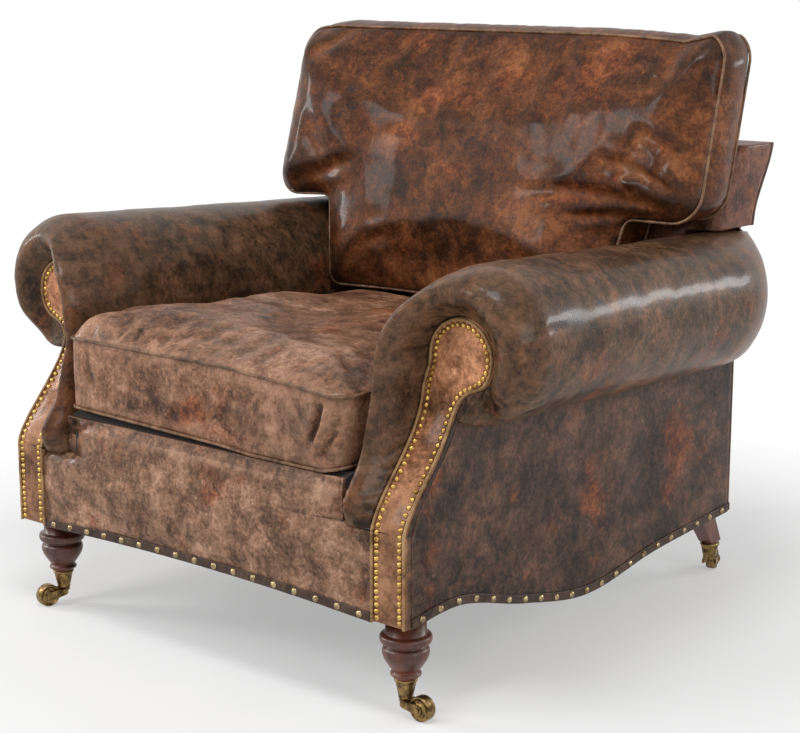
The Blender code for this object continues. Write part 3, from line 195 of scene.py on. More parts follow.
# Platform cloth is a matt, nearly black cotton weave, drawn at 1.2 mm a thread so that it shows.
PLATFORM_CLOTH = woven_cloth("cotton_platform_cloth", "#1b1714", "#2c2621", 1.2)
refinish("seat_spring", WIRE)
refinish(("seat_deck", "dust_cover"), PLATFORM_CLOTH)

# Arms
# Hessian, hair and wadding over the arm rail, covered in one piece of waxed hide that runs from the
# seat up the inside, over the roll and under it, and is pleated in round the facing at the front.
FRONT_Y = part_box("arm_facing_left")[0].y
REAR_Y = FRONT_Y + 0.879
BODY_HALF_WIDTH = 0.428
ARM_INNER_X = 0.305
ARM_OUTER_X = 0.4242
ARM_FOOT_Z = 0.287
SHOULDER_Z = 0.490
ROLL_RADIUS = 0.113
FACING_INNER_X = 0.3625
FACING_OUTER_X = 0.4275
SCROLL_X, SCROLL_Z, SCROLL_RADIUS = 0.434, 0.526, 0.058
FACING_THICKNESS = 0.010
FRONT_PUFF = 0.036
ROLL_END_LENGTH = 0.16
ROLL_FRONT, ROLL_DRIFT = (0.452, 0.543), (0.027, 0.025)
SWEEP_DEPTH, SWEEP_LOW_Z, SWEEP_HEIGHT, SWEEP_BIAS = 0.112, 0.283, 0.192, 0.85
SCROLL_START, SCROLL_END = 190, -46
BACK_RAKE, BACK_BEND_Z = 0.167, 0.42
BACK_PANEL = 0.0075
SECTION_COUNTS = (46, 44, 90, 40)


def smooth(t):
    t = np.clip(t, 0.0, 1.0)
    return t * t * (3 - 2 * t)


def swept(z):
    """Share of the whole sweep that the arm's front has made at this height."""
    return smooth(np.clip((z - SWEEP_LOW_Z) / SWEEP_HEIGHT, 0.0, 1.0) ** SWEEP_BIAS)


def sweep(z):
    """Depth of the facing's front at this height: upright, swept back, upright again."""
    return FRONT_Y + SWEEP_DEPTH * swept(z)


def outside_back_y(z):
    return REAR_Y + BACK_RAKE * np.maximum(z - BACK_BEND_Z, 0.0)


def roll_centre(y):
    """The roll's axis at this depth. Towards the rear it runs a little inwards and down."""
    t = (y - sweep(SCROLL_Z)) / (REAR_Y - sweep(SCROLL_Z))
    return ROLL_FRONT[0] - ROLL_DRIFT[0] * t, ROLL_FRONT[1] - ROLL_DRIFT[1] * t


def along(points, count):
    """This many points at even steps along a line of points."""
    points = np.asarray(points, float)
    passed = np.concatenate([[0.0], np.cumsum(np.linalg.norm(np.diff(points, axis=0), axis=1))])
    steps = np.linspace(0.0, passed[-1], count)
    return np.stack([np.interp(steps, passed, points[:, k]) for k in range(points.shape[1])], 1)


def arc(centre, radii, start, end, count):
    """Points (x, z) round an ellipse, between two angles in degrees."""
    a = np.radians(np.linspace(start, end, count))
    return np.stack([centre[0] + radii[0] * np.cos(a), centre[1] + radii[1] * np.sin(a)], 1)


def facing_line(foot_z, grow, counts):
    """Edge of the facing in (x, z), up its inner side, round the scroll and down its outer side."""
    scroll = (SCROLL_X, SCROLL_Z), (SCROLL_RADIUS + grow,) * 2
    start, end = arc(*scroll, SCROLL_START, SCROLL_END, 2)
    inner, outer = FACING_INNER_X - grow, FACING_OUTER_X + grow
    line = np.concatenate(
        [
            along([(inner, foot_z), (inner, 0.450), (inner, 0.475), start], counts[0] + 1)[:-1],
            arc(*scroll, SCROLL_START, 90, counts[1] + 1)[:-1],
            arc(*scroll, 90, SCROLL_END, counts[2] + 1)[:-1],
            along([end, (outer + 0.014, 0.474), (outer, 0.447), (outer, foot_z)], counts[3]),
        ]
    )
    for _ in range(3):
        line[1:-1] = 0.5 * line[1:-1] + 0.25 * (line[:-2] + line[2:])
    return line


def arm_line(y, counts):
    """Section of the arm at this depth in (x, z), up the inside, over the roll and down to its foot."""
    centre_x, centre_z = roll_centre(y)
    under_z = centre_z - math.sqrt(ROLL_RADIUS**2 - (centre_x - ARM_OUTER_X) ** 2)
    shoulder = (centre_x - ARM_INNER_X, centre_z + ROLL_RADIUS - SHOULDER_Z)
    return np.concatenate(
        [
            along([(ARM_INNER_X, ARM_FOOT_Z), (ARM_INNER_X, SHOULDER_Z)], counts[0] + 1)[:-1],
            arc((centre_x, SHOULDER_Z), shoulder, 180, 90, counts[1] + 1)[:-1],
            arc((centre_x, centre_z), (ROLL_RADIUS, ROLL_RADIUS), 90, -104, counts[2] + 1)[:-1],
            along([(ARM_OUTER_X, under_z), (ARM_OUTER_X, ARM_FOOT_Z)], counts[3]),
        ]
    )


def lumps(points, size, seed):
    """Smooth noise from -1 to 1 whose lumps are about this many metres across."""
    offset = Vector((seed * 17.31, seed * 5.17, seed * 9.73))
    return np.array([noise.noise(Vector(p) / size + offset) for p in points])


def from_segment(points, a, b):
    """Distance of each point from a straight segment, and how far along it that is, from 0 to 1."""
    t = np.clip(((points - a) @ (b - a)) / ((b - a) ** 2).sum(), 0, 1)
    return np.linalg.norm(points - a - t[:, None] * (b - a), axis=1), t


def skin(name, rows, around=False, ends=False):
    """A smooth mesh through rows of points, closed round each row and over both ends if asked."""
    rows = np.asarray(rows, float)
    index = np.arange(rows.shape[0] * rows.shape[1]).reshape(rows.shape[:2])
    left, right = (index, np.roll(index, -1, 1)) if around else (index[:, :-1], index[:, 1:])
    faces = np.stack([left[:-1], right[:-1], right[1:], left[1:]], -1).reshape(-1, 4).tolist()
    if ends:
        faces += [index[0][::-1].tolist(), index[-1].tolist()]
    return mesh_piece(name, rows.reshape(-1, 3), faces)


def linked(name, data):
    made = bpy.data.objects.new(name, data)
    bpy.context.scene.collection.objects.link(made)
    return made


def mesh_piece(name, points, faces):
    mesh = bpy.data.meshes.new(name)
    mesh.from_pydata(np.asarray(points).tolist(), [], faces)
    bm = bmesh.new()
    bm.from_mesh(mesh)
    bmesh.ops.recalc_face_normals(bm, faces=bm.faces)
    bm.to_mesh(mesh)
    bm.free()
    mesh.shade_smooth()
    return linked(name, mesh)


def points_of(piece):
    found = np.empty(len(piece.data.vertices) * 3)
    piece.data.vertices.foreach_get("co", found)
    return found.reshape(-1, 3)


def normals_of(piece):
    found = np.empty(len(piece.data.vertices) * 3)
    piece.data.vertices.foreach_get("normal", found)
    return found.reshape(-1, 3)


def set_points(piece, points):
    piece.data.vertices.foreach_set("co", np.asarray(points, float).ravel())
    piece.data.update()


def roughen(piece, height, size, seed):
    """Makes a surface uneven by this height, in metres, with lumps of this size."""
    points = points_of(piece)
    set_points(piece, points + normals_of(piece) * (height * lumps(points, size, seed))[:, None])


def mark_crests(piece, rounds, depth, wear_and_highlight=0.0):
    """Stores how far each point stands out of its surroundings, from -1 in a fold to 1 on a ridge.
    The last argument is added where hands or knees wear the hide and where a painted highlight goes, ridge
    or not."""
    points, normals = points_of(piece), normals_of(piece)
    edges = np.empty(len(piece.data.edges) * 2, int)
    piece.data.edges.foreach_get("vertices", edges)
    a, b = edges.reshape(-1, 2).T
    size = len(points)
    count = np.bincount(np.concatenate([a, b]), minlength=size)[:, None]
    eased = points.copy()
    for _ in range(rounds):
        total = [np.bincount(a, eased[b, k], size) + np.bincount(b, eased[a, k], size) for k in range(3)]
        eased = np.stack(total, 1) / count
    crest = np.clip(((points - eased) * normals).sum(1) / depth + wear_and_highlight, -1, 1)
    stored = piece.data.attributes.new("crest", "FLOAT", "POINT")
    stored.data.foreach_set("value", crest.astype(np.float32))


def hide(name, stops, rust_stops, patch_mm, rust_share, crust_and_highlight_share, roughness, painted_low_shade=0.0):
    """Waxed pull-up leather. It is dyed dark over a lighter crust, then sanded and waxed by hand, so it
    is cloudy from dark to tan, rusty in patches and pale where it is rubbed. Its folds are darkened as
    painted shade, the crest attribute can carry a painted highlight, and the last argument darkens it
    towards the floor as painted shade."""
    made, tree, shader = new_finish(name, Specular_IOR_Level=0.09, Coat_Weight=0.18, Coat_Roughness=0.15)
    place = object_place(tree)
    drift = noise_at(tree, place, 38, 4.0, 0.6).outputs[1]
    centred = {"operation": "MULTIPLY_ADD", 1: (0.045,) * 3, 2: (-0.0225,) * 3}
    shift = node(tree, "VectorMath", centred, {0: drift}).outputs[0]
    moved = node(tree, "VectorMath", {"operation": "ADD"}, {0: place, 1: shift}).outputs[0]
    # Clouds of dye, 26 mm marks of the cloth that wiped it and 6 mm speckle make one level together.
    clouds = noise_at(tree, moved, patch_mm, 3.0).outputs[0]
    wipes = noise_at(tree, moved, 26, 7.0, 0.76).outputs[0]
    speckle = noise_at(tree, place, 6, 3.0, 0.65).outputs[0]
    level = node(tree, "Math", {"operation": "MULTIPLY", 1: 0.32}, {0: clouds}).outputs[0]
    for share, layer in ((0.44, wipes), (0.24, speckle)):
        level = node(tree, "Math", {"operation": "MULTIPLY_ADD", 1: share}, {0: layer, 2: level}).outputs[0]
    level = remap(tree, level, (0.40, 0.60))
    elsewhere = node(tree, "VectorMath", {"operation": "ADD", 1: (3.7, 1.9, 5.3)}, {0: moved}).outputs[0]
    patches = noise_at(tree, elsewhere, patch_mm * 1.25, 5.0, 0.62).outputs[0]
    rust_at = remap(tree, patches, (0.62 - 0.24 * rust_share, 0.72 - 0.24 * rust_share), (0.0, 0.8))
    dyes = {6: ramp(tree, level, stops), 7: ramp(tree, level, rust_stops)}
    dyed = node(tree, "Mix", {"data_type": "RGBA"}, {"Factor": rust_at, **dyes}).outputs[2]
    # Scuffs are pale hairlines, about 16 mm apart and here and there, where the wax has been broken.
    tangled = {"operation": "MULTIPLY_ADD", 1: (0.022,) * 3}
    tangle = node(tree, "VectorMath", tangled, {0: drift, 2: moved}).outputs[0]
    edges = {"feature": "DISTANCE_TO_EDGE", "Scale": 1000 / 16}
    lines = node(tree, "TexVoronoi", edges, {"Vector": tangle}).outputs[0]
    thin, here = remap(tree, lines, (0.0, 0.06), (0.5, 0.0)), remap(tree, wipes, (0.47, 0.62))
    scuffed_at = node(tree, "Math", {"operation": "MULTIPLY"}, {0: thin, 1: here}).outputs[0]
    scuffed = tinted(tree, dyed, stops[-1][1], scuffed_at)
    # The crust shows on ridges and where hands and knees wear it, and the arms' fronts get a painted
    # highlight; the folds get painted shade, and the facings painted shade towards the floor.
    crest = node(tree, "Attribute", {"attribute_name": "crest"}).outputs[2]
    # Ridges and the painted highlight carried in crest both lighten towards the crust's pale colour.
    ridge = remap(tree, crest, (0.05, 0.9), (0.0, crust_and_highlight_share))
    broken = remap(tree, wipes, (0.38, 0.62), (0.25, 1.0))
    crust_and_highlight_at = node(tree, "Math", {"operation": "MULTIPLY"}, {0: ridge, 1: broken}).outputs[0]
    rubbed = tinted(tree, scuffed, stops[-1][1], crust_and_highlight_at)
    # Painted shade: the hide is darkened down in its folds, more the deeper they are.
    fold_shaded = tinted(tree, rubbed, "#1f1610", remap(tree, crest, (-0.1, -1.0), (0.0, 0.6)))
    # Painted shade towards the floor: the hide darkens below 0.5 m, by the last argument's share.
    height = node(tree, "SeparateXYZ", None, {0: place}).outputs[2]
    low_shaded = tinted(tree, fold_shaded, "#3a281c", remap(tree, height, (0.50, 0.24), (0.0, painted_low_shade)))
    # Grain pebbles are about 2 mm, and the creases that wear opens between them about 9 mm apart.
    pebbles = node(tree, "TexVoronoi", {"Scale": 1000 / 2.2}, {"Vector": place}).outputs[0]
    edges = {"feature": "DISTANCE_TO_EDGE", "Scale": 1000 / 9}
    cracks = node(tree, "TexVoronoi", edges, {"Vector": moved}).outputs[0]
    fine = bumped(tree, pebbles, 0.18, 0.0004)
    wide = bumped(tree, remap(tree, cracks, (0.0, 0.07)), 0.22, 0.0006, fine)
    feed(
        tree,
        shader,
        Base_Color=low_shaded,
        Roughness=remap(tree, wipes, (0.3, 0.7), (roughness, roughness + 0.2)),
        Normal=bumped(tree, wipes, 0.5, 0.0012, wide),
    )
    return made


BROWN_STOPS = [(0.0, "#15100c"), (0.25, "#291e17"), (0.5, "#41301f"), (0.75, "#5b4130"), (1.0, "#7d5b44")]
RUST_STOPS = [(0.0, "#34180b"), (0.25, "#502715"), (0.5, "#6f3a20"), (0.75, "#8d4e2d"), (1.0, "#aa6842")]
ARM_HIDE = hide("waxed_hide_of_the_arms", BROWN_STOPS, RUST_STOPS, 95, 0.30, 0.6, 0.25)


def arm_skin():
    """Rows of points from the arm's rear to its front, then tucked in round the facing."""
    counts = SECTION_COUNTS
    rows = []
    for t in 1 - np.cos(np.linspace(0.0, math.pi / 2, 22)):
        depth = REAR_Y - ROLL_END_LENGTH * t
        x, z = arm_line(depth, counts).T
        reach = max(math.sqrt(1 - (1 - t) ** 2), 0.10)
        x = np.where(x > BODY_HALF_WIDTH, BODY_HALF_WIDTH + (x - BODY_HALF_WIDTH) * reach, x)
        z = np.where(z > SHOULDER_Z, z - 0.006 * (1 - t) ** 3, z)
        rows.append(np.stack([x, outside_back_y(z) - BACK_PANEL - ROLL_END_LENGTH * t, z], 1))
    start = REAR_Y - ROLL_END_LENGTH
    front = arm_line(sweep(SCROLL_Z), counts)
    core = facing_line(ARM_FOOT_Z, 0.0004, counts)
    step = core - front
    share = np.minimum(np.linalg.norm(step, axis=1) / 0.06, 1.0)
    order = np.arange(len(share))
    share *= smooth((sum(counts[:3]) - 6 - order) / 26)
    inner = smooth((counts[0] + counts[1] + 6 - order) / 36)

    def puffed(t):
        x, z = (front + step * t).T
        fuller = 1 + inner * (0.8 + 0.9 * smooth((z - 0.35) / 0.09))
        puff = FRONT_PUFF * fuller * share * smooth((z - ARM_FOOT_Z + 0.022) / 0.07)
        set_back = 0.004 * (1 - t) + 0.6 * puff * (1 - t) ** 2
        return np.stack([x, sweep(z) + set_back - puff * math.sin(math.pi * t**0.8), z], 1)

    for t in np.linspace(0.0, 1.0, 118)[1:-1]:
        x, z = arm_line(start + (sweep(SCROLL_Z) - start) * t, counts).T
        rear = outside_back_y(z) - BACK_PANEL - ROLL_END_LENGTH
        rows.append(np.stack([x, rear + (puffed(0.0)[:, 1] - rear) * t, z], 1))
    for t in np.linspace(0.0, 1.0, 30):
        rows.append(puffed(t))
    grid = np.array(rows)
    for _ in range(5):
        middle = grid[1:-1, 1:-1]
        grid[1:-1, 1:-1] = 0.4 * middle + 0.15 * (
            grid[:-2, 1:-1] + grid[2:, 1:-1] + grid[1:-1, :-2] + grid[1:-1, 2:]
        )
    tuck = grid[-1].copy()
    tuck[:, 1] += FACING_THICKNESS + 0.0003
    return np.concatenate([grid, [tuck]])


for side, word in ((1, "left"), (-1, "right")):
    grid = arm_skin() * (side, 1, 1)
    arm = skin(f"leather_arm_{word}", grid, around=True, ends=True)
    points, normals = points_of(arm), normals_of(arm)
    line_count, ring_count = grid.shape[:2]
    core_length = np.concatenate([[0.0], np.cumsum(np.linalg.norm(np.diff(grid[-2], axis=0), axis=1))])
    round_edge = np.tile(core_length, line_count)
    from_edge = np.linalg.norm(grid - grid[-2][None], axis=2).ravel()
    uneven = lumps(points, 0.05, 3)
    gather = np.abs(np.sin(math.pi * (round_edge / 0.021 + 0.8 * uneven))) - 0.62
    near = np.exp(-((from_edge / 0.042) ** 2)) * np.clip(0.35 + 1.3 * lumps(points, 0.08, 5), 0.1, 1.0)
    ripple = (
        np.sin(2 * math.pi * (round_edge / 0.0105 + 1.3 * uneven))
        * np.exp(-(((from_edge - 0.06) / 0.035) ** 2))
    )
    lift = 0.0032 * near * gather + 0.0011 * ripple * np.clip(2 * lumps(points, 0.07, 8), 0, 1)
    lift += 0.0016 * lumps(points, 0.11, 1) + 0.0007 * lumps(points, 0.035, 2)
    behind = (points[:, 1] > REAR_Y - 0.02) | (points[:, 2] < ARM_FOOT_Z + 0.004)
    lift[-2 * ring_count :] = 0.0
    lift[behind] = 0.0
    set_points(arm, points + normals * lift[:, None])
    # Painted highlight: the arm's front round the facing is lightened towards the crust's pale colour.
    painted_front_highlight = np.exp(-(((from_edge - 0.045) / 0.035) ** 2)) * (np.abs(points[:, 0]) < 0.44)
    mark_crests(arm, 10, 0.0009, 0.95 * painted_front_highlight)
    arm.data.materials.append(ARM_HIDE)
    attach(arm, "chair")
    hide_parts(f"arm_upholstery_{word}")

# Facings, welts and nails
# Each arm front is closed by a board under thin wadding and the same hide, with a cord welt of paler
# hide sewn round its edge and a row of close brass dome nails hammered in just inside the welt.
FOOT_Z = 0.152
FACING_COUNTS = (60, 16, 34, 56)
DOME_SIDES = 14
DOME_PROFILE = ((1.0, -0.25), (1.0, 0.0), (0.93, 0.30), (0.74, 0.64), (0.45, 0.89), (0.16, 0.99))
WELT_INSET, WELT_RADIUS = 0.0032, 0.0024
NAIL_INSET, NAIL_PITCH, NAIL_RADIUS, NAIL_HEIGHT = 0.0112, 0.0096, 0.0044, 0.0035
FACING_CROWN = 0.0026
# How far from its edge to its spine each ring of the facing's face lies.
FACING_STEPS = (0.02, 0.07, 0.14, 0.22, 0.32, 0.44, 0.58, 0.74, 0.9, 1.0)
FACING_STOPS = [(0.0, "#6c442b"), (0.25, "#91603f"), (0.5, "#b47a58"), (0.75, "#d6976e"), (1.0, "#faba8c")]
# The facings' hide is darkened towards the floor as painted shade.
FACING_HIDE = hide("waxed_hide_of_the_facings", FACING_STOPS, RUST_STOPS, 70, 0.2, 0.5, 0.33, painted_low_shade=0.6)
WELT_STOPS = [(0.0, "#62482d"), (0.3, "#816140"), (0.6, "#9c7a53"), (1.0, "#b6936c")]
WELT_HIDE = hide("waxed_hide_of_the_welts", WELT_STOPS, RUST_STOPS, 40, 0.15, 0.4, 0.36)


def old_brass(name, dark, bright, wear_mm):
    """Cast or stamped brass, browned in its hollows and rubbed bright where it is touched."""
    made, tree, shader = new_finish(name, Metallic=1.0)
    wear = noise_at(tree, object_place(tree), wear_mm, 5.0, 0.65).outputs[0]
    feed(
        tree,
        shader,
        Base_Color=ramp(tree, wear, [(0.34, dark), (0.62, bright)]),
        Roughness=remap(tree, wear, (0.3, 0.7), (0.5, 0.24)),
        Normal=bumped(tree, wear, 0.15, 0.0003),
    )
    return made


NAIL_BRASS = old_brass("aged_brass_nails", "#7a5a2e", "#d8b36a", 9)


def tube(points, normals, radius, sides, closed=False):
    """Points of a tube along a line, given the line's normal at each point."""
    points, normals = np.asarray(points), np.asarray(normals)
    ahead = np.roll(points, -1, 0) - np.roll(points, 1, 0)
    if not closed:
        ahead[0], ahead[-1] = points[1] - points[0], points[-1] - points[-2]
    across = np.cross(ahead, normals)
    across /= np.linalg.norm(across, axis=1)[:, None]
    up = np.cross(across, ahead)
    up /= np.linalg.norm(up, axis=1)[:, None]
    angles = np.linspace(0, 2 * math.pi, sides, endpoint=False)
    rows = [points + radius * (math.cos(a) * across + math.sin(a) * up) for a in angles]
    return np.stack(rows, 1)


def facing_normals(z):
    slope = (sweep(z + 0.001) - sweep(z - 0.001)) / 0.002
    found = np.stack([0 * z, -np.ones_like(z), slope], 1)
    return found / np.linalg.norm(found, axis=1)[:, None]


def domes(name, places, ups, radius, height, seed):
    """Dome-headed nails on a line of places, each hammered in at a very slightly different lean."""
    chance = random.Random(seed)
    points, faces = [], []
    for place, up in zip(places, ups):
        lean = Vector([chance.uniform(-0.09, 0.09) for _ in range(3)])
        turn = (Vector(up) + lean).normalized().to_track_quat("Z", "Y").to_matrix()
        first = len(points)
        for share, rise in DOME_PROFILE:
            for k in range(DOME_SIDES):
                a = 2 * math.pi * k / DOME_SIDES
                spot = Vector((radius * share * math.cos(a), radius * share * math.sin(a), height * rise))
                points.append(Vector(place) + turn @ spot)
        for ring in range(len(DOME_PROFILE) - 1):
            low, high = first + ring * DOME_SIDES, first + (ring + 1) * DOME_SIDES
            for k in range(DOME_SIDES):
                ahead = (k + 1) % DOME_SIDES
                faces.append((low + k, low + ahead, high + ahead, high + k))
        faces.append(tuple(range(high, high + DOME_SIDES)))
        faces.append(tuple(range(first + DOME_SIDES - 1, first - 1, -1)))
    return mesh_piece(name, np.array(points), faces)


for side, word in ((1, "left"), (-1, "right")):
    outline = facing_line(FOOT_Z, 0.0, FACING_COUNTS)
    foot = along([outline[-1], outline[0]], 10)[1:-1]
    outline = np.concatenate([outline, foot])
    spine_z = np.clip(outline[:, 1], FOOT_Z + 0.0325, SCROLL_Z)
    spine = np.stack([0.395 + 0.039 * smooth((spine_z - 0.44) / 0.08), spine_z], 1)
    rows = []
    rings = [(0.0, 0.0, FACING_THICKNESS), (-0.002, 0.0, 0.0035), (0.0, 0.0, 0.0012)]
    rings += [(t, FACING_CROWN * (1 - (1 - t) ** 2.5), 0.0) for t in FACING_STEPS]
    for t, crown, back in rings:
        x, z = (outline + (spine - outline) * t).T
        rows.append(np.stack([x, sweep(z) - crown + back, z], 1))
    facing = skin(f"leather_facing_{word}", np.array(rows) * (side, 1, 1), around=True)
    points, normals = points_of(facing), normals_of(facing)
    lift = (0.0008 * lumps(points, 0.045, 11) + 0.0004 * lumps(points, 0.016, 12))[:, None]
    set_points(facing, points + normals * lift * (points[:, 1] < sweep(points[:, 2]) - 0.001)[:, None])
    mark_crests(facing, 6, 0.0006)
    facing.data.materials.append(FACING_HIDE)
    facing.data.materials.append(ARM_HIDE)
    for face in facing.data.polygons:
        face.material_index = int(face.index < 2 * len(outline))
    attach(facing, "chair")
    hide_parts(f"arm_facing_{word}")

    line = along(facing_line(FOOT_Z, -WELT_INSET, FACING_COUNTS), 240)
    ups = facing_normals(line[:, 1])
    line = np.stack([line[:, 0], sweep(line[:, 1]), line[:, 1]], 1) + ups * 0.0026
    welt = skin(
        f"facing_welt_{word}", tube(line, ups, WELT_RADIUS, 10) * (side, 1, 1), around=True, ends=True
    )
    roughen(welt, 0.00035, 0.012, 13)
    mark_crests(welt, 3, 0.0003)
    welt.data.materials.append(WELT_HIDE)
    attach(welt, "chair")
    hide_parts(f"facing_welt_{word}")

    line = facing_line(FOOT_Z + 0.003, -NAIL_INSET, FACING_COUNTS)
    length = np.linalg.norm(np.diff(line, axis=0), axis=1).sum()
    line = along(line, 2 * int(length / NAIL_PITCH) + 1)[1::2]
    ups = facing_normals(line[:, 1])
    line = np.stack([line[:, 0], sweep(line[:, 1]), line[:, 1]], 1) + ups * 0.0014
    nails = domes(
        f"brass_nails_{word}", line * (side, 1, 1), ups * (side, 1, 1), NAIL_RADIUS, NAIL_HEIGHT, 21 + side
    )
    nails.data.materials.append(NAIL_BRASS)
    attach(nails, "chair")
    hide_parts(f"facing_nails_{word}")

# Outside arms and front border
# Flat hide stretched over hessian and thin wadding, tacked to the rails. The outside arm runs from
# the facing to the back's corner. The border pads the front rail below the seat cushion.
PANEL_STOPS = [(0.0, "#1c1512"), (0.25, "#30241e"), (0.5, "#46342a"), (0.75, "#5b4236"), (1.0, "#785644")]
PANEL_HIDE = hide("waxed_hide_of_the_outside", PANEL_STOPS, RUST_STOPS, 110, 0.22, 0.4, 0.36)
BORDER_HIDE = hide(
    "waxed_hide_of_the_border",
    [(0.0, "#3e2a1e"), (0.25, "#5d4333"), (0.5, "#7c5b46"), (0.75, "#98725b"), (1.0, "#b99278")],
    RUST_STOPS, 80, 0.2, 0.5, 0.36,
)


def cut_finely(node_name, name, cell, edge, seed, depth, hold):
    """A copy of a flat CAD piece with rounded edges, cut into small faces and made gently uneven.
    hold is how far from its border, in metres, the unevenness takes to reach its full depth."""
    bm = bmesh.new()
    bm.from_mesh(frame["nodes"][node_name].data)
    bmesh.ops.remove_doubles(bm, verts=bm.verts, dist=1e-5)
    bmesh.ops.dissolve_limit(bm, angle_limit=math.radians(1), verts=bm.verts, edges=bm.edges)
    sharp = [e for e in bm.edges if len(e.link_faces) == 2 and e.calc_face_angle(0) > math.radians(40)]
    border = [(e.verts[0].co.copy(), e.verts[1].co.copy()) for e in sharp]
    bmesh.ops.bevel(
        bm, geom=sharp, offset=edge, segments=3, profile=0.5, affect="EDGES", clamp_overlap=True
    )
    low = Vector([min(v.co[k] for v in bm.verts) for k in range(3)])
    high = Vector([max(v.co[k] for v in bm.verts) for k in range(3)])
    for k in range(3):
        count = int((high[k] - low[k]) / cell)
        plane = Vector((0, 0, 0))
        plane[k] = 1
        for i in range(1, count + 1):
            spot = low.copy()
            spot[k] = low[k] + (high[k] - low[k]) * i / (count + 1)
            bmesh.ops.bisect_plane(
                bm, geom=bm.verts[:] + bm.edges[:] + bm.faces[:], plane_co=spot, plane_no=plane
            )
    mesh = bpy.data.meshes.new(name)
    bm.to_mesh(mesh)
    bm.free()
    mesh.shade_smooth()
    made = linked(name, mesh)
    points, normals = points_of(made), normals_of(made)
    away = np.full(len(points), 1.0)
    for a, b in border:
        away = np.minimum(away, from_segment(points, np.array(a), np.array(b))[0])
    held = smooth(away / hold)
    uneven = depth * (0.5 + 0.5 * lumps(points, 0.12, seed)) + 0.4 * depth * lumps(points, 0.04, seed + 1)
    set_points(made, points + normals * (held * uneven)[:, None])
    mark_crests(made, 6, max(depth * 0.35, 0.0002))
    return made


# The hide is drawn forward at the scroll by this much, to close against the facing's rear edge.
PANEL_GAP = 0.013
for word in ("left", "right"):
    panel = cut_finely(
        f"outside_arm_{word}", f"leather_outside_arm_{word}", 0.010, 0.0010, 31, 0.0022, 0.05
    )
    points = points_of(panel)
    gap = PANEL_GAP * swept(points[:, 2])
    behind_facing = points[:, 1] - sweep(points[:, 2]) - gap
    points[:, 1] -= gap * smooth(1 - (behind_facing - 0.012) / 0.16)
    set_points(panel, points)
    panel.data.materials.append(PANEL_HIDE)
    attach(panel, "chair")
    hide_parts(f"outside_arm_{word}")

border = cut_finely("front_border", "leather_front_border", 0.008, 0.0025, 33, 0.0024, 0.03)
points = points_of(border)
ahead = points[:, 1] < FRONT_Y + 0.004
fold = np.zeros(len(points))
for x0, z0, x1, z1, wide, deep in (
    (-0.36, 0.20, 0.30, 0.19, 0.012, 0.0012),
    (-0.20, 0.335, 0.26, 0.325, 0.010, 0.0014),
    (-0.34, 0.29, -0.22, 0.255, 0.010, 0.0016),
    (0.345, 0.30, 0.20, 0.262, 0.010, 0.0016),
    (0.10, 0.23, 0.33, 0.245, 0.014, 0.0012),
):
    away, t = from_segment(points[:, [0, 2]], np.array((x0, z0)), np.array((x1, z1)))
    fold += deep * np.exp(-((away / wide) ** 2)) * np.sin(math.pi * np.clip(t, 0.05, 0.95))
tucked = smooth((np.abs(points[:, 0]) - 0.25) / 0.05) * smooth((points[:, 2] - 0.265) / 0.03)


# The far arm's hide runs in under the seat, and meets the border's on a slanting seam.
def above_seam(x, z):
    """Height over the seam, square to it."""
    return (z - 0.283) * 0.913 - (x + 0.369) * 0.409


over = above_seam(points[:, 0], points[:, 2])
at_corner = smooth((-0.225 - points[:, 0]) / 0.02)
seam = at_corner * (0.0035 * np.exp(-((over / 0.0035) ** 2)) - 0.007 * smooth(over / 0.016))
points[:, 1] += np.where(ahead, fold + np.where(points[:, 0] < 0, 0.015, 0.004) * tucked + seam, 0.0)
set_points(border, points)
border.data.materials.append(BORDER_HIDE)
border.data.materials.append(ARM_HIDE)
for face in border.data.polygons:
    x, _, z = face.center
    face.material_index = int(x < -0.235 and above_seam(x, z) > 0)
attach(border, "chair")
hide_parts("front_border")

# Inside and outside back
# The back frame is padded in front and over its sides and top. Its hide is closed behind by a tacked
# panel, whose edge is studded with small dark nails up both sides and over the top.
BACK_TOP_Z, BACK_WING, DRAWN_IN = 0.777, 0.125, 0.010
STUD_RADIUS, STUD_HEIGHT = 0.0042, 0.0028
RUSTY_HIDE = hide(
    "waxed_hide_of_the_inside_back",
    [(0.0, "#33201a"), (0.25, "#4a3026"), (0.5, "#623f31"), (0.75, "#7a4f3d"), (1.0, "#936450")],
    RUST_STOPS, 90, 0.45, 0.5, 0.36,
)
inside = cut_finely("inside_back", "leather_inside_back", 0.012, 0.009, 35, 0.0024, 0.02)


def drawn_in(piece):
    """Narrows the back's upholstery a little towards the arms, where its hide is pulled down tight."""
    points = points_of(piece)
    share = smooth((BACK_TOP_Z - points[:, 2]) / BACK_WING) * smooth((points[:, 2] - 0.615) / 0.015)
    share *= smooth((np.abs(points[:, 0]) - 0.39) / 0.05)
    points[:, 0] -= np.sign(points[:, 0]) * 0.014 * share
    points[:, 1] -= DRAWN_IN * share
    set_points(piece, points)


drawn_in(inside)
inside.data.materials.append(RUSTY_HIDE)
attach(inside, "chair")
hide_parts("inside_back")
outside = cut_finely("outside_back", "leather_outside_back", 0.010, 0.0014, 37, 0.0026, 0.06)
drawn_in(outside)
outside.data.materials.append(PANEL_HIDE)
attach(outside, "chair")
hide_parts("outside_back")

STUD_BRASS = old_brass("browned_brass_studs", "#3d2e20", "#8a6a42", 7)
stud_top = BACK_TOP_Z - 0.008
stud_line = along([(-0.434, 0.655), (-0.447, stud_top), (0.447, stud_top), (0.434, 0.655)], 116)
rear = outside_back_y(stud_line[:, 1]) - DRAWN_IN * smooth((BACK_TOP_Z - stud_line[:, 1]) / BACK_WING)
stud_places = np.stack([stud_line[:, 0], rear - 0.0002, stud_line[:, 1]], 1)
stud_ups = np.tile([0.0, 1.0, -BACK_RAKE], (len(stud_line), 1))
studs = domes("back_studs", stud_places, stud_ups, STUD_RADIUS, STUD_HEIGHT, 5)
studs.data.materials.append(STUD_BRASS)
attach(studs, "chair")

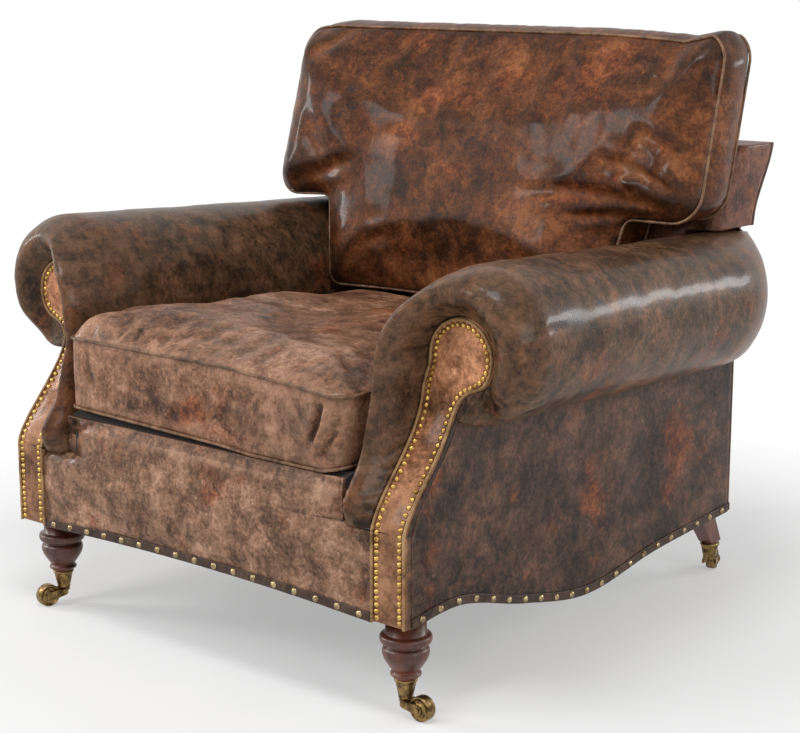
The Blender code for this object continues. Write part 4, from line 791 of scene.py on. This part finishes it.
# Bottom bands
# A strip of dark hide covers the raw edge round the bottom, held by larger dome nails spaced out
# along it. It follows the arched front edge and the serpentine sides.
SIDE_EDGE = (
    (-0.440, 0.151), (-0.330, 0.160), (-0.170, 0.122), (-0.010, 0.093), (0.200, 0.117), (0.440, 0.133)
)
BAND_HEIGHT, BAND_THICKNESS, BAND_PITCH = 0.014, 0.0023, 0.041
BAND_NAIL_RADIUS, BAND_NAIL_HEIGHT = 0.0055, 0.0034
BAND_HIDE = hide(
    "edge_strip_of_dark_hide",
    [(0.0, "#191210"), (0.3, "#2a1f1a"), (0.6, "#3d2e26"), (1.0, "#5a463a")],
    RUST_STOPS, 60, 0.0, 0.6, 0.38,
)


def side_edge_z(y):
    """Height of the side's bottom edge at this depth, on a smooth curve through the points of SIDE_EDGE."""
    ys, zs = np.array(SIDE_EDGE).T
    ys = ys + REAR_Y - 0.440
    slopes = np.gradient(zs, ys)
    k = np.clip(np.searchsorted(ys, y) - 1, 0, len(ys) - 2)
    step = ys[k + 1] - ys[k]
    t = np.clip((y - ys[k]) / step, 0, 1)
    return (
        (2 * t**3 - 3 * t**2 + 1) * zs[k]
        + (t**3 - 2 * t**2 + t) * step * slopes[k]
        + (3 * t**2 - 2 * t**3) * zs[k + 1]
        + (t**3 - t**2) * step * slopes[k + 1]
    )


BAND_BRASS = old_brass("dulled_brass_nails", "#5c4a33", "#b8a47e", 7)
steps = np.linspace(0.0, 1.0, 150)
side_y = FRONT_Y + 0.0106 + (REAR_Y - 0.0069 - FRONT_Y - 0.0106) * steps
cross_x = 0.3622 * (2 * steps - 1)
rear_x = BODY_HALF_WIDTH * (2 * steps - 1)
level = 0 * steps
front_z = 0.150 + 0.010 * (1 - (cross_x / FACING_INNER_X) ** 2)
bands = {
    "left": (np.stack([level + BODY_HALF_WIDTH, side_y, side_edge_z(side_y)], 1), (1.0, 0.0, 0.0)),
    "right": (np.stack([level - BODY_HALF_WIDTH, side_y, side_edge_z(side_y)], 1), (-1.0, 0.0, 0.0)),
    "front": (np.stack([cross_x, level + FRONT_Y, front_z], 1), (0.0, -1.0, 0.0)),
    "rear": (np.stack([rear_x, level + REAR_Y, level + 0.133], 1), (0.0, 1.0, 0.0)),
}
for word, (edge, outward) in bands.items():
    outward = np.array(outward)
    section = (
        (0.0003, 0.0), (0.0019, -0.0002), (BAND_THICKNESS, 0.0012),
        (BAND_THICKNESS + 0.0003, BAND_HEIGHT / 2),
        (BAND_THICKNESS, BAND_HEIGHT - 0.0012), (0.0019, BAND_HEIGHT + 0.0002), (0.0003, BAND_HEIGHT),
    )
    rows = np.stack([edge + outward * out + (0, 0, up) for out, up in section], 1)
    band = skin(f"edge_band_{word}", rows, around=True, ends=True)
    roughen(band, 0.0003, 0.02, 41)
    mark_crests(band, 3, 0.0003)
    band.data.materials.append(BAND_HIDE)
    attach(band, "chair")
    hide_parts(f"bottom_band_{word}")
    length = np.linalg.norm(np.diff(edge, axis=0), axis=1).sum()
    places = along(edge, 2 * int(length / BAND_PITCH) + 1)[1::2]
    places = places + outward * (BAND_THICKNESS + 0.0002) + (0, 0, BAND_HEIGHT / 2)
    ups = np.tile(outward, (len(places), 1))
    nails = domes(f"band_nails_{word}", places, ups, BAND_NAIL_RADIUS, BAND_NAIL_HEIGHT, 51)
    nails.data.materials.append(BAND_BRASS)
    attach(nails, "chair")

# Seat and back cushions
# Loose boxed cushions of feathers round a foam core, in the same hide, piped along both seams. Years
# of sitting have spread their fronts, pulled folds out of their corners and rubbed their faces.
SEAT_HIDE = hide(
    "waxed_hide_of_the_seat",
    [(0.0, "#3e291e"), (0.25, "#5c3f2f"), (0.5, "#7a5640"), (0.75, "#946c55"), (1.0, "#b68c72")],
    RUST_STOPS, 90, 0.22, 0.55, 0.38,
)
BACK_HIDE = hide(
    "waxed_hide_of_the_back_cushion",
    [(0.0, "#2b180b"), (0.25, "#432513"), (0.5, "#59331c"), (0.75, "#6f4126"), (1.0, "#8c5735")],
    RUST_STOPS, 100, 0.31, 0.5, 0.34,
)
PIPING_HIDE = hide(
    "waxed_hide_of_the_piping",
    [(0.0, "#35261b"), (0.3, "#523c2c"), (0.6, "#735642"), (1.0, "#957459")],
    RUST_STOPS, 40, 0.2, 0.4, 0.36,
)
VOXEL = 0.0075
CLOTH_STEPS = 20
PIPING_RADIUS = 0.0025


def rounded(corners, steps):
    """Points round an outline of (x, y, corner radius), with an arc at each corner."""
    found = []
    for i, (x, y, radius) in enumerate(corners):
        here = np.array((x, y))
        before = np.array(corners[i - 1][:2]) - here
        after = np.array(corners[(i + 1) % len(corners)][:2]) - here
        before, after = before / np.linalg.norm(before), after / np.linalg.norm(after)
        half = math.acos(float(before @ after)) / 2
        inward = (before + after) / np.linalg.norm(before + after)
        middle = here + inward * radius / math.sin(half)
        start, end = here + before * radius / math.tan(half), here + after * radius / math.tan(half)
        first, last = math.atan2(*(start - middle)[::-1]), math.atan2(*(end - middle)[::-1])
        turn = (last - first + math.pi) % (2 * math.pi) - math.pi
        for k in range(steps + 1):
            a = first + turn * k / steps
            found.append(middle + radius * np.array((math.cos(a), math.sin(a))))
    return np.array(found)


def nearest(points, line):
    """Distance from each point to a closed line of points."""
    found = np.full(len(points), 9.0)
    for a, b in zip(line, np.roll(line, -1, 0)):
        found = np.minimum(found, from_segment(points, a, b)[0])
    return found


def stroke(points, line, width):
    """How near each point is to a drawn fold, 1 on its line, and fading out at both of its ends."""
    line = along(line, 24)
    best, share = np.full(len(points), 9.0), np.zeros(len(points))
    for k, (a, b) in enumerate(zip(line[:-1], line[1:])):
        away, t = from_segment(points, a, b)
        closer = away < best
        best = np.where(closer, away, best)
        share = np.where(closer, (k + t) / (len(line) - 1), share)
    fade = smooth(share / 0.25) * smooth((1 - share) / 0.35)
    return (np.exp(-((best / width) ** 2)) - 0.45 * np.exp(-(((best - 1.9 * width) / width) ** 2))) * fade


def folds(points, lines):
    """All the folds of a face together. Each is a line of points, its width and its depth."""
    return sum(depth * stroke(points, np.array(line), width) for line, width, depth in lines)


def blown_cushion(name, outline, thickness, crowns, swell, limit, reach):
    """A boxed cushion, lying flat. outline is its seam, and its faces crown over this reach from it. The
    hide is held at the seams and blown out by cloth simulation, which moves no point over the limit."""
    count = len(outline)
    bm = bmesh.new()
    loops = []
    for depth in np.linspace(0.0, thickness, 10):
        loops.append([bm.verts.new((x, y, depth)) for x, y in outline])
    for low, high in zip(loops[:-1], loops[1:]):
        for k in range(count):
            bm.faces.new((low[k], low[(k + 1) % count], high[(k + 1) % count], high[k]))
    bm.faces.new(loops[0][::-1])
    bm.faces.new(loops[-1])
    bmesh.ops.recalc_face_normals(bm, faces=bm.faces)
    mesh = bpy.data.meshes.new(name)
    bm.to_mesh(mesh)
    bm.free()
    made = linked(name, mesh)
    remesh = made.modifiers.new("even_faces", "REMESH")
    remesh.mode = "VOXEL"
    remesh.voxel_size = VOXEL
    apply_modifiers(made)
    points = points_of(made)
    inward = nearest(points[:, :2], outline)
    rise = 1 - (1 - np.clip(inward / reach, 0, 1)) ** 2.2
    for at, sign, crown in ((0.0, -1, crowns[0]), (thickness, 1, crowns[1])):
        face = np.abs(points[:, 2] - at) < 0.004
        points[:, 2] += np.where(face, sign * crown * rise, 0.0)
    set_points(made, points)
    start = points.copy()
    at_face = (np.abs(points[:, 2]) < VOXEL) | (np.abs(points[:, 2] - thickness) < VOXEL)
    at_seam = (inward < VOXEL) & at_face
    group = made.vertex_groups.new(name="seams")
    group.add(np.flatnonzero(at_seam).tolist(), 1.0, "REPLACE")
    cloth = made.modifiers.new("blow_out", "CLOTH")
    cloth.settings.quality = 4
    cloth.settings.mass = 0.4
    cloth.settings.tension_stiffness = 18
    cloth.settings.compression_stiffness = 18
    cloth.settings.bending_stiffness = 5.0
    cloth.settings.use_pressure = True
    cloth.settings.uniform_pressure_force = swell
    cloth.settings.shrink_min = -0.010
    cloth.settings.vertex_group_mass = "seams"
    cloth.settings.effector_weights.gravity = 0
    cloth.collision_settings.use_collision = False
    cloth.point_cache.frame_end = CLOTH_STEPS
    for step in range(1, CLOTH_STEPS + 1):
        bpy.context.scene.frame_set(step)
    apply_modifiers(made)
    bpy.context.scene.frame_set(1)
    points = points_of(made)
    moved = points - start
    far = np.linalg.norm(moved, axis=1)[:, None]
    boxing = (inward < 0.012) & (start[:, 2] > 0.004) & (start[:, 2] < thickness - 0.004)
    held = np.where(boxing, 0.3, 1.0)[:, None]
    points = start + moved * held * np.minimum(1.0, limit / np.maximum(far, 1e-9))
    set_points(made, points)
    subdivide = made.modifiers.new("finer", "SUBSURF")
    subdivide.levels = subdivide.render_levels = 1
    apply_modifiers(made)
    made.data.shade_smooth()
    return made, points_of(made)


def apply_modifiers(piece):
    """Bakes a piece's modifiers into its mesh, so none is left on it."""
    evaluated = piece.evaluated_get(bpy.context.evaluated_depsgraph_get())
    baked = bpy.data.meshes.new_from_object(evaluated)
    piece.modifiers.clear()
    piece.data = baked


def piping(name, outline, across, depth):
    """A welt round one seam of a cushion, a thin tube that wavers a little with the hide."""
    line = along(np.concatenate([outline, outline[:1]]), 420)[:-1]
    place = across(np.column_stack([line, np.full(len(line), depth)]))
    inside_it = across(np.column_stack([line * 0.98 + 0.02 * line.mean(0), np.full(len(line), depth)]))
    outward = place - inside_it
    rows = tube(place, outward, PIPING_RADIUS, 8, closed=True)
    rows = np.concatenate([rows, rows[:1]])
    made = skin(name, rows, around=True)
    bm = bmesh.new()
    bm.from_mesh(made.data)
    bmesh.ops.remove_doubles(bm, verts=bm.verts, dist=1e-6)
    bmesh.ops.recalc_face_normals(bm, faces=bm.faces)
    bm.to_mesh(made.data)
    bm.free()
    roughen(made, 0.0004, 0.015, 61)
    mark_crests(made, 3, 0.0004)
    made.data.materials.append(PIPING_HIDE)
    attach(made, "chair")
    return made


SEAT_LOW, SEAT_HIGH = 0.366, 0.471
SEAT_FRONT_Y, SEAT_REAR_Y = FRONT_Y + 0.006, 0.2320
seat_outline = rounded(
    [
        (-0.299, SEAT_FRONT_Y, 0.022), (0.299, SEAT_FRONT_Y, 0.03),
        (0.296, SEAT_REAR_Y, 0.03), (-0.296, SEAT_REAR_Y, 0.03),
    ],
    8,
)


def seat_place(points):
    """From the cushion's own outline and height to its place on the deck, with its sag."""
    x, y, up = points[:, 0], points[:, 1], points[:, 2]
    ahead = smooth((-y - 0.25) / 0.20)
    lift = np.interp(
        x, (-0.31, -0.10, 0.05, 0.22, 0.283, 0.31), (0.009, 0.009, 0.009, -0.001, -0.008, -0.008)
    )
    low = np.interp(x, (-0.31, 0.05, 0.12, 0.26, 0.30), (0.001, -0.008, -0.013, -0.013, -0.005))
    share = np.clip(up / (SEAT_HIGH - SEAT_LOW), 0, 1)
    over = smooth((up - SEAT_HIGH + SEAT_LOW) / 0.02)
    crown = (
        0.016 * smooth((-x + 0.02) / 0.2) * smooth((0.02 - y) / 0.15) - 0.014 * smooth((y + 0.08) / 0.22)
    )
    return np.stack([x, y, SEAT_LOW + up + ahead * (lift * share + low * (1 - share)) + crown * over], 1)


seat, flat = blown_cushion(
    "leather_seat_cushion", seat_outline, SEAT_HIGH - SEAT_LOW, (0.0118, 0.026), 2.4, 0.012, 0.075
)
front = (flat[:, 1] < FRONT_Y + 0.03) & (flat[:, 2] > 0.004) & (flat[:, 2] < 0.100)
front_folds = (
    ([(0.262, 0.100), (0.258, 0.070), (0.232, 0.026)], 0.006, -0.0068),
    ([(0.276, 0.095), (0.268, 0.060), (0.246, 0.016)], 0.007, 0.0062),
    ([(0.285, 0.060), (0.270, 0.030)], 0.005, -0.003),
    ([(-0.255, 0.090), (-0.245, 0.060), (-0.225, 0.030)], 0.007, -0.0022),
    ([(-0.10, 0.020), (0.02, 0.045), (0.12, 0.040)], 0.012, -0.0014),
    ([(0.02, 0.080), (0.10, 0.074), (0.20, 0.085)], 0.009, -0.0014),
    ([(-0.20, 0.060), (-0.08, 0.070), (0.03, 0.060)], 0.012, -0.0012),
)
flat[:, 1] -= np.where(front, folds(flat[:, [0, 2]], front_folds), 0.0)
top = flat[:, 2] > 0.100
top_folds = (
    ([(0.29, -0.10), (0.20, -0.12), (0.12, -0.10)], 0.007, -0.0018),
    ([(0.29, -0.05), (0.21, -0.06), (0.15, -0.04)], 0.006, -0.0016),
    ([(0.29, 0.02), (0.22, 0.01), (0.17, 0.03)], 0.006, -0.0014),
    ([(0.28, -0.42), (0.20, -0.36), (0.10, -0.34)], 0.009, -0.0022),
    ([(-0.28, -0.43), (-0.20, -0.38), (-0.13, -0.30)], 0.009, -0.0020),
    ([(-0.12, -0.45), (-0.02, -0.40), (0.10, -0.41)], 0.012, -0.0018),
    ([(-0.20, -0.20), (-0.05, -0.16), (0.08, -0.20)], 0.016, -0.0020),
)
pushed = folds(flat[:, [0, 1]], top_folds)
flat[:, 2] += np.where(top, pushed + 0.0016 * lumps(flat, 0.07, 71) + 0.0007 * lumps(flat, 0.028, 72), 0.0)
flat[:, 1] -= np.where(front, 0.0012 * lumps(flat, 0.05, 73), 0.0)
placed = seat_place(flat)
placed[:, 0] = np.clip(placed[:, 0], -0.3040, 0.3040)
placed[:, 2] = np.maximum(placed[:, 2], 0.3535)
set_points(seat, placed)
rubbed_end = (
    (placed[:, 0] > 0.08) * (placed[:, 1] < FRONT_Y + 0.03) * np.exp(-(((placed[:, 0] - 0.19) / 0.07) ** 2))
)
mark_crests(seat, 14, 0.0019, 0.8 * rubbed_end)
seat.data.materials.append(SEAT_HIDE)
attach(seat, "chair")
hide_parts("seat_cushion")
piping("seat_welt_upper", seat_outline, seat_place, SEAT_HIGH - SEAT_LOW)
piping("seat_welt_lower", seat_outline, seat_place, 0.0)

CUSHION_THICKNESS = 0.083
back_outline = rounded(
    [
        (-0.299, 0.493, 0.03), (0.288, 0.493, 0.03), (0.312, 0.655, 0.020), (0.452, 0.655, 0.050),
        (0.449, 0.957, 0.042), (-0.455, 0.957, 0.042), (-0.462, 0.650, 0.045), (-0.333, 0.655, 0.020),
    ],
    8,
)


def leaning_y(z):
    """Depth of the cushion's front seam at this height, before the far side's forward lean."""
    return 0.2739 + 0.27 * (z - 0.825)


def back_place(points):
    """From the cushion's outline and depth to its lean against the back, with its uneven top edge."""
    x, z, depth = points[:, 0], points[:, 1], points[:, 2]
    rise = np.interp(
        x,
        (-0.456, -0.381, -0.243, -0.009, 0.205, 0.33, 0.368, 0.40, 0.424, 0.457),
        (0.002, 0.009, 0.006, 0.003, 0.000, -0.006, -0.010, -0.004, 0.003, -0.004),
    )
    z = z + rise * smooth((z - 0.80) / 0.15)
    ahead = 0.030 * smooth((-x - 0.14) / 0.24) * (1 - depth / CUSHION_THICKNESS)
    return np.stack([x, leaning_y(z) + depth - ahead, z], 1)


back, flat = blown_cushion(
    "leather_back_cushion", back_outline, CUSHION_THICKNESS, (0.045, 0.0115), 2.6, 0.014, 0.095
)
face = flat[:, [0, 1]]
ahead = smooth((0.03 - flat[:, 2]) / 0.03)
back_folds = (
    ([(0.435, 0.668), (0.34, 0.690), (0.22, 0.700), (0.10, 0.690)], 0.012, -0.0052),
    ([(0.438, 0.690), (0.36, 0.735), (0.25, 0.760)], 0.010, -0.0042),
    ([(0.440, 0.715), (0.39, 0.780), (0.31, 0.815)], 0.010, -0.0034),
    ([(0.420, 0.660), (0.30, 0.663), (0.20, 0.655)], 0.008, -0.0036),
    ([(0.35, 0.735), (0.31, 0.725), (0.33, 0.705), (0.37, 0.712)], 0.007, -0.0032),
    ([(0.368, 0.952), (0.360, 0.900), (0.335, 0.850)], 0.013, -0.0040),
    ([(0.400, 0.780), (0.385, 0.730), (0.400, 0.700)], 0.007, -0.0030),
    ([(-0.435, 0.672), (-0.33, 0.700), (-0.22, 0.735)], 0.012, -0.0038),
    ([(-0.270, 0.520), (-0.20, 0.580), (-0.12, 0.610)], 0.012, -0.0030),
    ([(0.270, 0.520), (0.19, 0.570), (0.10, 0.590)], 0.012, -0.0030),
    ([(-0.42, 0.940), (-0.34, 0.890), (-0.25, 0.870)], 0.014, -0.0026),
    ([(-0.10, 0.900), (0.05, 0.915), (0.20, 0.900)], 0.018, -0.0018),
    ([(-0.25, 0.780), (-0.10, 0.760), (0.05, 0.785)], 0.020, -0.0020),
)
uneven = 0.0022 * lumps(flat, 0.09, 81) + 0.0009 * lumps(flat, 0.035, 82)
flat[:, 2] -= ahead * (folds(face, back_folds) + uneven)
boxing = (
    (nearest(face, back_outline) < 0.012) & (flat[:, 2] > 0.006) & (flat[:, 2] < CUSHION_THICKNESS - 0.006)
)
flow = np.sin(2 * math.pi * (flat[:, 0] + flat[:, 1]) / 0.021 + 3 * lumps(flat, 0.05, 83))
shrink = (
    1 - 0.0016 * np.where(boxing, (1 + flow) * np.clip(lumps(flat, 0.06, 84) + 0.4, 0, 1), 0.0)[:, None]
)
middle = np.array((0.0, 0.76))
flat[:, :2] = middle + (flat[:, :2] - middle) * shrink
puffed = (
    np.sin(math.pi * np.clip(flat[:, 2] / CUSHION_THICKNESS, 0, 1))
    * smooth((0.02 - nearest(face, back_outline)) / 0.02)
)
flat[:, 1] += 0.009 * puffed * smooth((flat[:, 1] - 0.93) / 0.02)
flat[:, 0] += 0.007 * puffed * np.sign(flat[:, 0]) * smooth((np.abs(flat[:, 0]) - 0.43) / 0.02)
placed = back_place(flat)
placed[:, 0] = np.clip(placed[:, 0], -0.478, 0.472)
limit_y = leaning_y(placed[:, 2]) + CUSHION_THICKNESS + 0.0126
placed[:, 1] = np.where(placed[:, 2] < BACK_TOP_Z, np.minimum(placed[:, 1], limit_y), placed[:, 1])
set_points(back, placed)
mark_crests(back, 14, 0.0017)
back.data.materials.append(BACK_HIDE)
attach(back, "chair")
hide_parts("back_cushion")
piping("back_welt_front", back_outline, back_place, 0.0)
piping("back_welt_rear", back_outline, back_place, CUSHION_THICKNESS)

# Legs
# Front legs are beech, turned on a lathe with rings and a tapered vase, stained and polished dark. The
# rear legs are the rounded square ends of the back posts, in the same stain.
LEG_PROFILE = (
    (0.0300, 0.1500), (0.0300, 0.1275), (0.0335, 0.1262), (0.0370, 0.1250), (0.0384, 0.1222),
    (0.0385, 0.1190), (0.0380, 0.1160), (0.0365, 0.1135), (0.0310, 0.1122), (0.0290, 0.1115),
    (0.0290, 0.1095), (0.0300, 0.1080), (0.0330, 0.1062), (0.0345, 0.1030), (0.0349, 0.0995),
    (0.0345, 0.0960), (0.0327, 0.0905), (0.0300, 0.0855), (0.0268, 0.0805), (0.0235, 0.0755),
    (0.0205, 0.0718), (0.0190, 0.0700), (0.0200, 0.0687), (0.0225, 0.0672), (0.0229, 0.0650),
    (0.0222, 0.0630), (0.0198, 0.0614), (0.0180, 0.0600), (0.0150, 0.0560),
)


def turned(name, profile, centre, sides=56):
    """A piece turned about an upright axis, closed over both ends."""
    angles = np.linspace(0, 2 * math.pi, sides, endpoint=False)
    rows = [
        [(centre[0] + r * math.cos(a), centre[1] + r * math.sin(a), z) for a in angles] for r, z in profile
    ]
    return skin(name, rows, around=True, ends=True)


for side, word in ((1, "left"), (-1, "right")):
    leg = turned(f"turned_front_leg_{word}", LEG_PROFILE, (side * 0.385, FRONT_Y + 0.049))
    leg.data.materials.append(MAHOGANY)
    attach(leg, "chair")
    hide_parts(f"front_leg_{word}")

# Castors
# Cast brass cups screwed to the leg ends, each with a forked horn that swivels on a pintle and a solid
# brass wheel on a pin between its cheeks.
CAST_BRASS = old_brass("aged_cast_brass", "#3c2f1e", "#a08356", 10)
CUP_PROFILE = (
    (0.0035, 0.0268), (0.0095, 0.0266), (0.0105, 0.0275), (0.0112, 0.0300), (0.0108, 0.0308),
    (0.0122, 0.0370), (0.0140, 0.0455), (0.0156, 0.0525), (0.0160, 0.0535), (0.0171, 0.0545),
    (0.0174, 0.0562), (0.0172, 0.0580), (0.0158, 0.0581),
)
# From the bore in one cheek out to the tread, across it and back to the bore in the other cheek.
half_wheel = [
    (0.0030, -0.0088), (0.0062, -0.0088), (0.0072, -0.0080), (0.0074, -0.0070), (0.0125, -0.0066),
    (0.0150, -0.0074), (0.0165, -0.0086), (0.0180, -0.0082), (0.0188, -0.0062), (0.0190, -0.0030),
]
WHEEL_PROFILE = half_wheel + [(0.0190, 0.0)] + [(r, -up) for r, up in half_wheel[::-1]]
around_wheel = np.linspace(0, 2 * math.pi, 48, endpoint=False)
for place in ("front_left", "front_right", "rear_left", "rear_right"):
    low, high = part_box(f"castor_cup_{place}")
    middle = (low + high) / 2
    cup = turned(f"brass_cup_{place}", CUP_PROFILE, (middle.x, middle.y), 40)
    cup.data.materials.append(CAST_BRASS)
    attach(cup, "chair")
    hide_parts(f"castor_cup_{place}")
    low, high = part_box(f"castor_wheel_{place}")
    middle = (low + high) / 2
    axle = next(
        Vector(j["axis"]) for j in frame["record"]["behaviour"]["joints"] if j["name"] == f"roll_{place}"
    )
    turn = axle.normalized().to_track_quat("Z", "Y").to_matrix()
    rows = []
    for r, up in WHEEL_PROFILE:
        ring = [Vector((r * math.cos(a), r * math.sin(a), up)) for a in around_wheel]
        rows.append([middle + turn @ spot for spot in ring])
    wheel = skin(f"brass_wheel_{place}", rows, around=True, ends=True)
    wheel.data.materials.append(CAST_BRASS)
    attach(wheel, f"wheel_{place}")
    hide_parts(f"castor_wheel_{place}")
refinish(("castor_horn", "castor_axle"), CAST_BRASS)

# Floor, light and camera
# A pale studio floor under soft lamps, and the camera at the photograph's angle.
floor_mesh = bpy.data.meshes.new("floor")
floor_mesh.from_pydata([(-6, -6, 0), (6, -6, 0), (6, 6, 0), (-6, 6, 0)], [], [(0, 1, 2, 3)])
floor = linked("floor", floor_mesh)
FLOOR_PAINT, floor_tree, floor_shader = new_finish(
    "matt_white_floor_paint", Roughness=0.9, Emission_Color=linear("#ffffff")
)
floor_place = object_place(floor_tree)
far_off = node(floor_tree, "VectorMath", {"operation": "LENGTH"}, {0: floor_place}).outputs[1]
fade = {
    "interpolation_type": "SMOOTHSTEP", "From Min": 0.55, "From Max": 1.7, "To Min": 0.38, "To Max": 1.0
}
glow = node(floor_tree, "MapRange", fade, {"Value": far_off}).outputs[0]
paint = noise_at(floor_tree, floor_place, 300, 2.0).outputs[0]
white_paint = ramp(floor_tree, paint, [(0.3, "#eeeeee"), (0.7, "#f1f1f1")])
faded = tinted(floor_tree, white_paint, "#000000", glow)
feed(floor_tree, floor_shader, Base_Color=faded, Emission_Strength=glow)
floor.data.materials.append(FLOOR_PAINT)


def lamp(name, place, aim, size, power):
    light = bpy.data.lights.new(name, "AREA")
    light.shape = "RECTANGLE"
    light.size, light.size_y = size
    light.energy = power
    made = linked(name, light)
    made.location = place
    made.rotation_euler = (Vector(aim) - Vector(place)).to_track_quat("-Z", "Y").to_euler()


lamp("key", (-1.5, -3.0, 2.4), (0.0, 0.0, 0.5), (1.3, 1.2), 40)
lamp("left", (-3.3, -1.6, 1.55), (0.3, -0.3, 0.45), (0.45, 1.5), 44)
lamp("streak", (2.2, 2.8, 1.45), (0.4, 0.0, 0.55), (1.5, 0.4), 30)
lamp("over", (0.7, -1.2, 3.2), (0.0, 0.0, 0.4), (1.1, 0.9), 40)
lamp("side", (3.6, -0.6, 1.6), (0.4, 0.0, 0.3), (1.2, 1.2), 20)
world = bpy.data.worlds.new("studio")
bpy.context.scene.world = world
world.use_nodes = True
tree = world.node_tree
rays = node(tree, "LightPath")
both_rays = {0: rays.outputs["Is Glossy Ray"], 1: rays.outputs["Is Transmission Ray"]}
mirrored = node(tree, "Math", {"operation": "ADD"}, both_rays).outputs[0]
seen_rays = {0: rays.outputs["Is Camera Ray"], 1: mirrored}
seen = node(tree, "Math", {"operation": "ADD", "use_clamp": True}, seen_rays)
plain = tree.nodes["Background"]
plain.inputs[0].default_value = linear("#ffffff")
plain.inputs[1].default_value = 0.26
white = node(tree, "Background", {0: linear("#ffffff"), 1: 1.0})
both = node(tree, "MixShader", None, {0: seen.outputs[0], 1: plain.outputs[0], 2: white.outputs[0]})
tree.links.new(both.outputs[0], tree.nodes["World Output"].inputs[0])
camera = linked("camera", bpy.data.cameras.new("camera"))
camera.location = (1.9707, -2.2987, 1.0239)
camera.rotation_euler = (math.radians(78.319), 0.0, math.radians(40.442))
camera.data.lens, camera.data.sensor_width = 81.0, 36.0
bpy.context.scene.camera = camera
bpy.context.scene.view_settings.view_transform = "Standard"
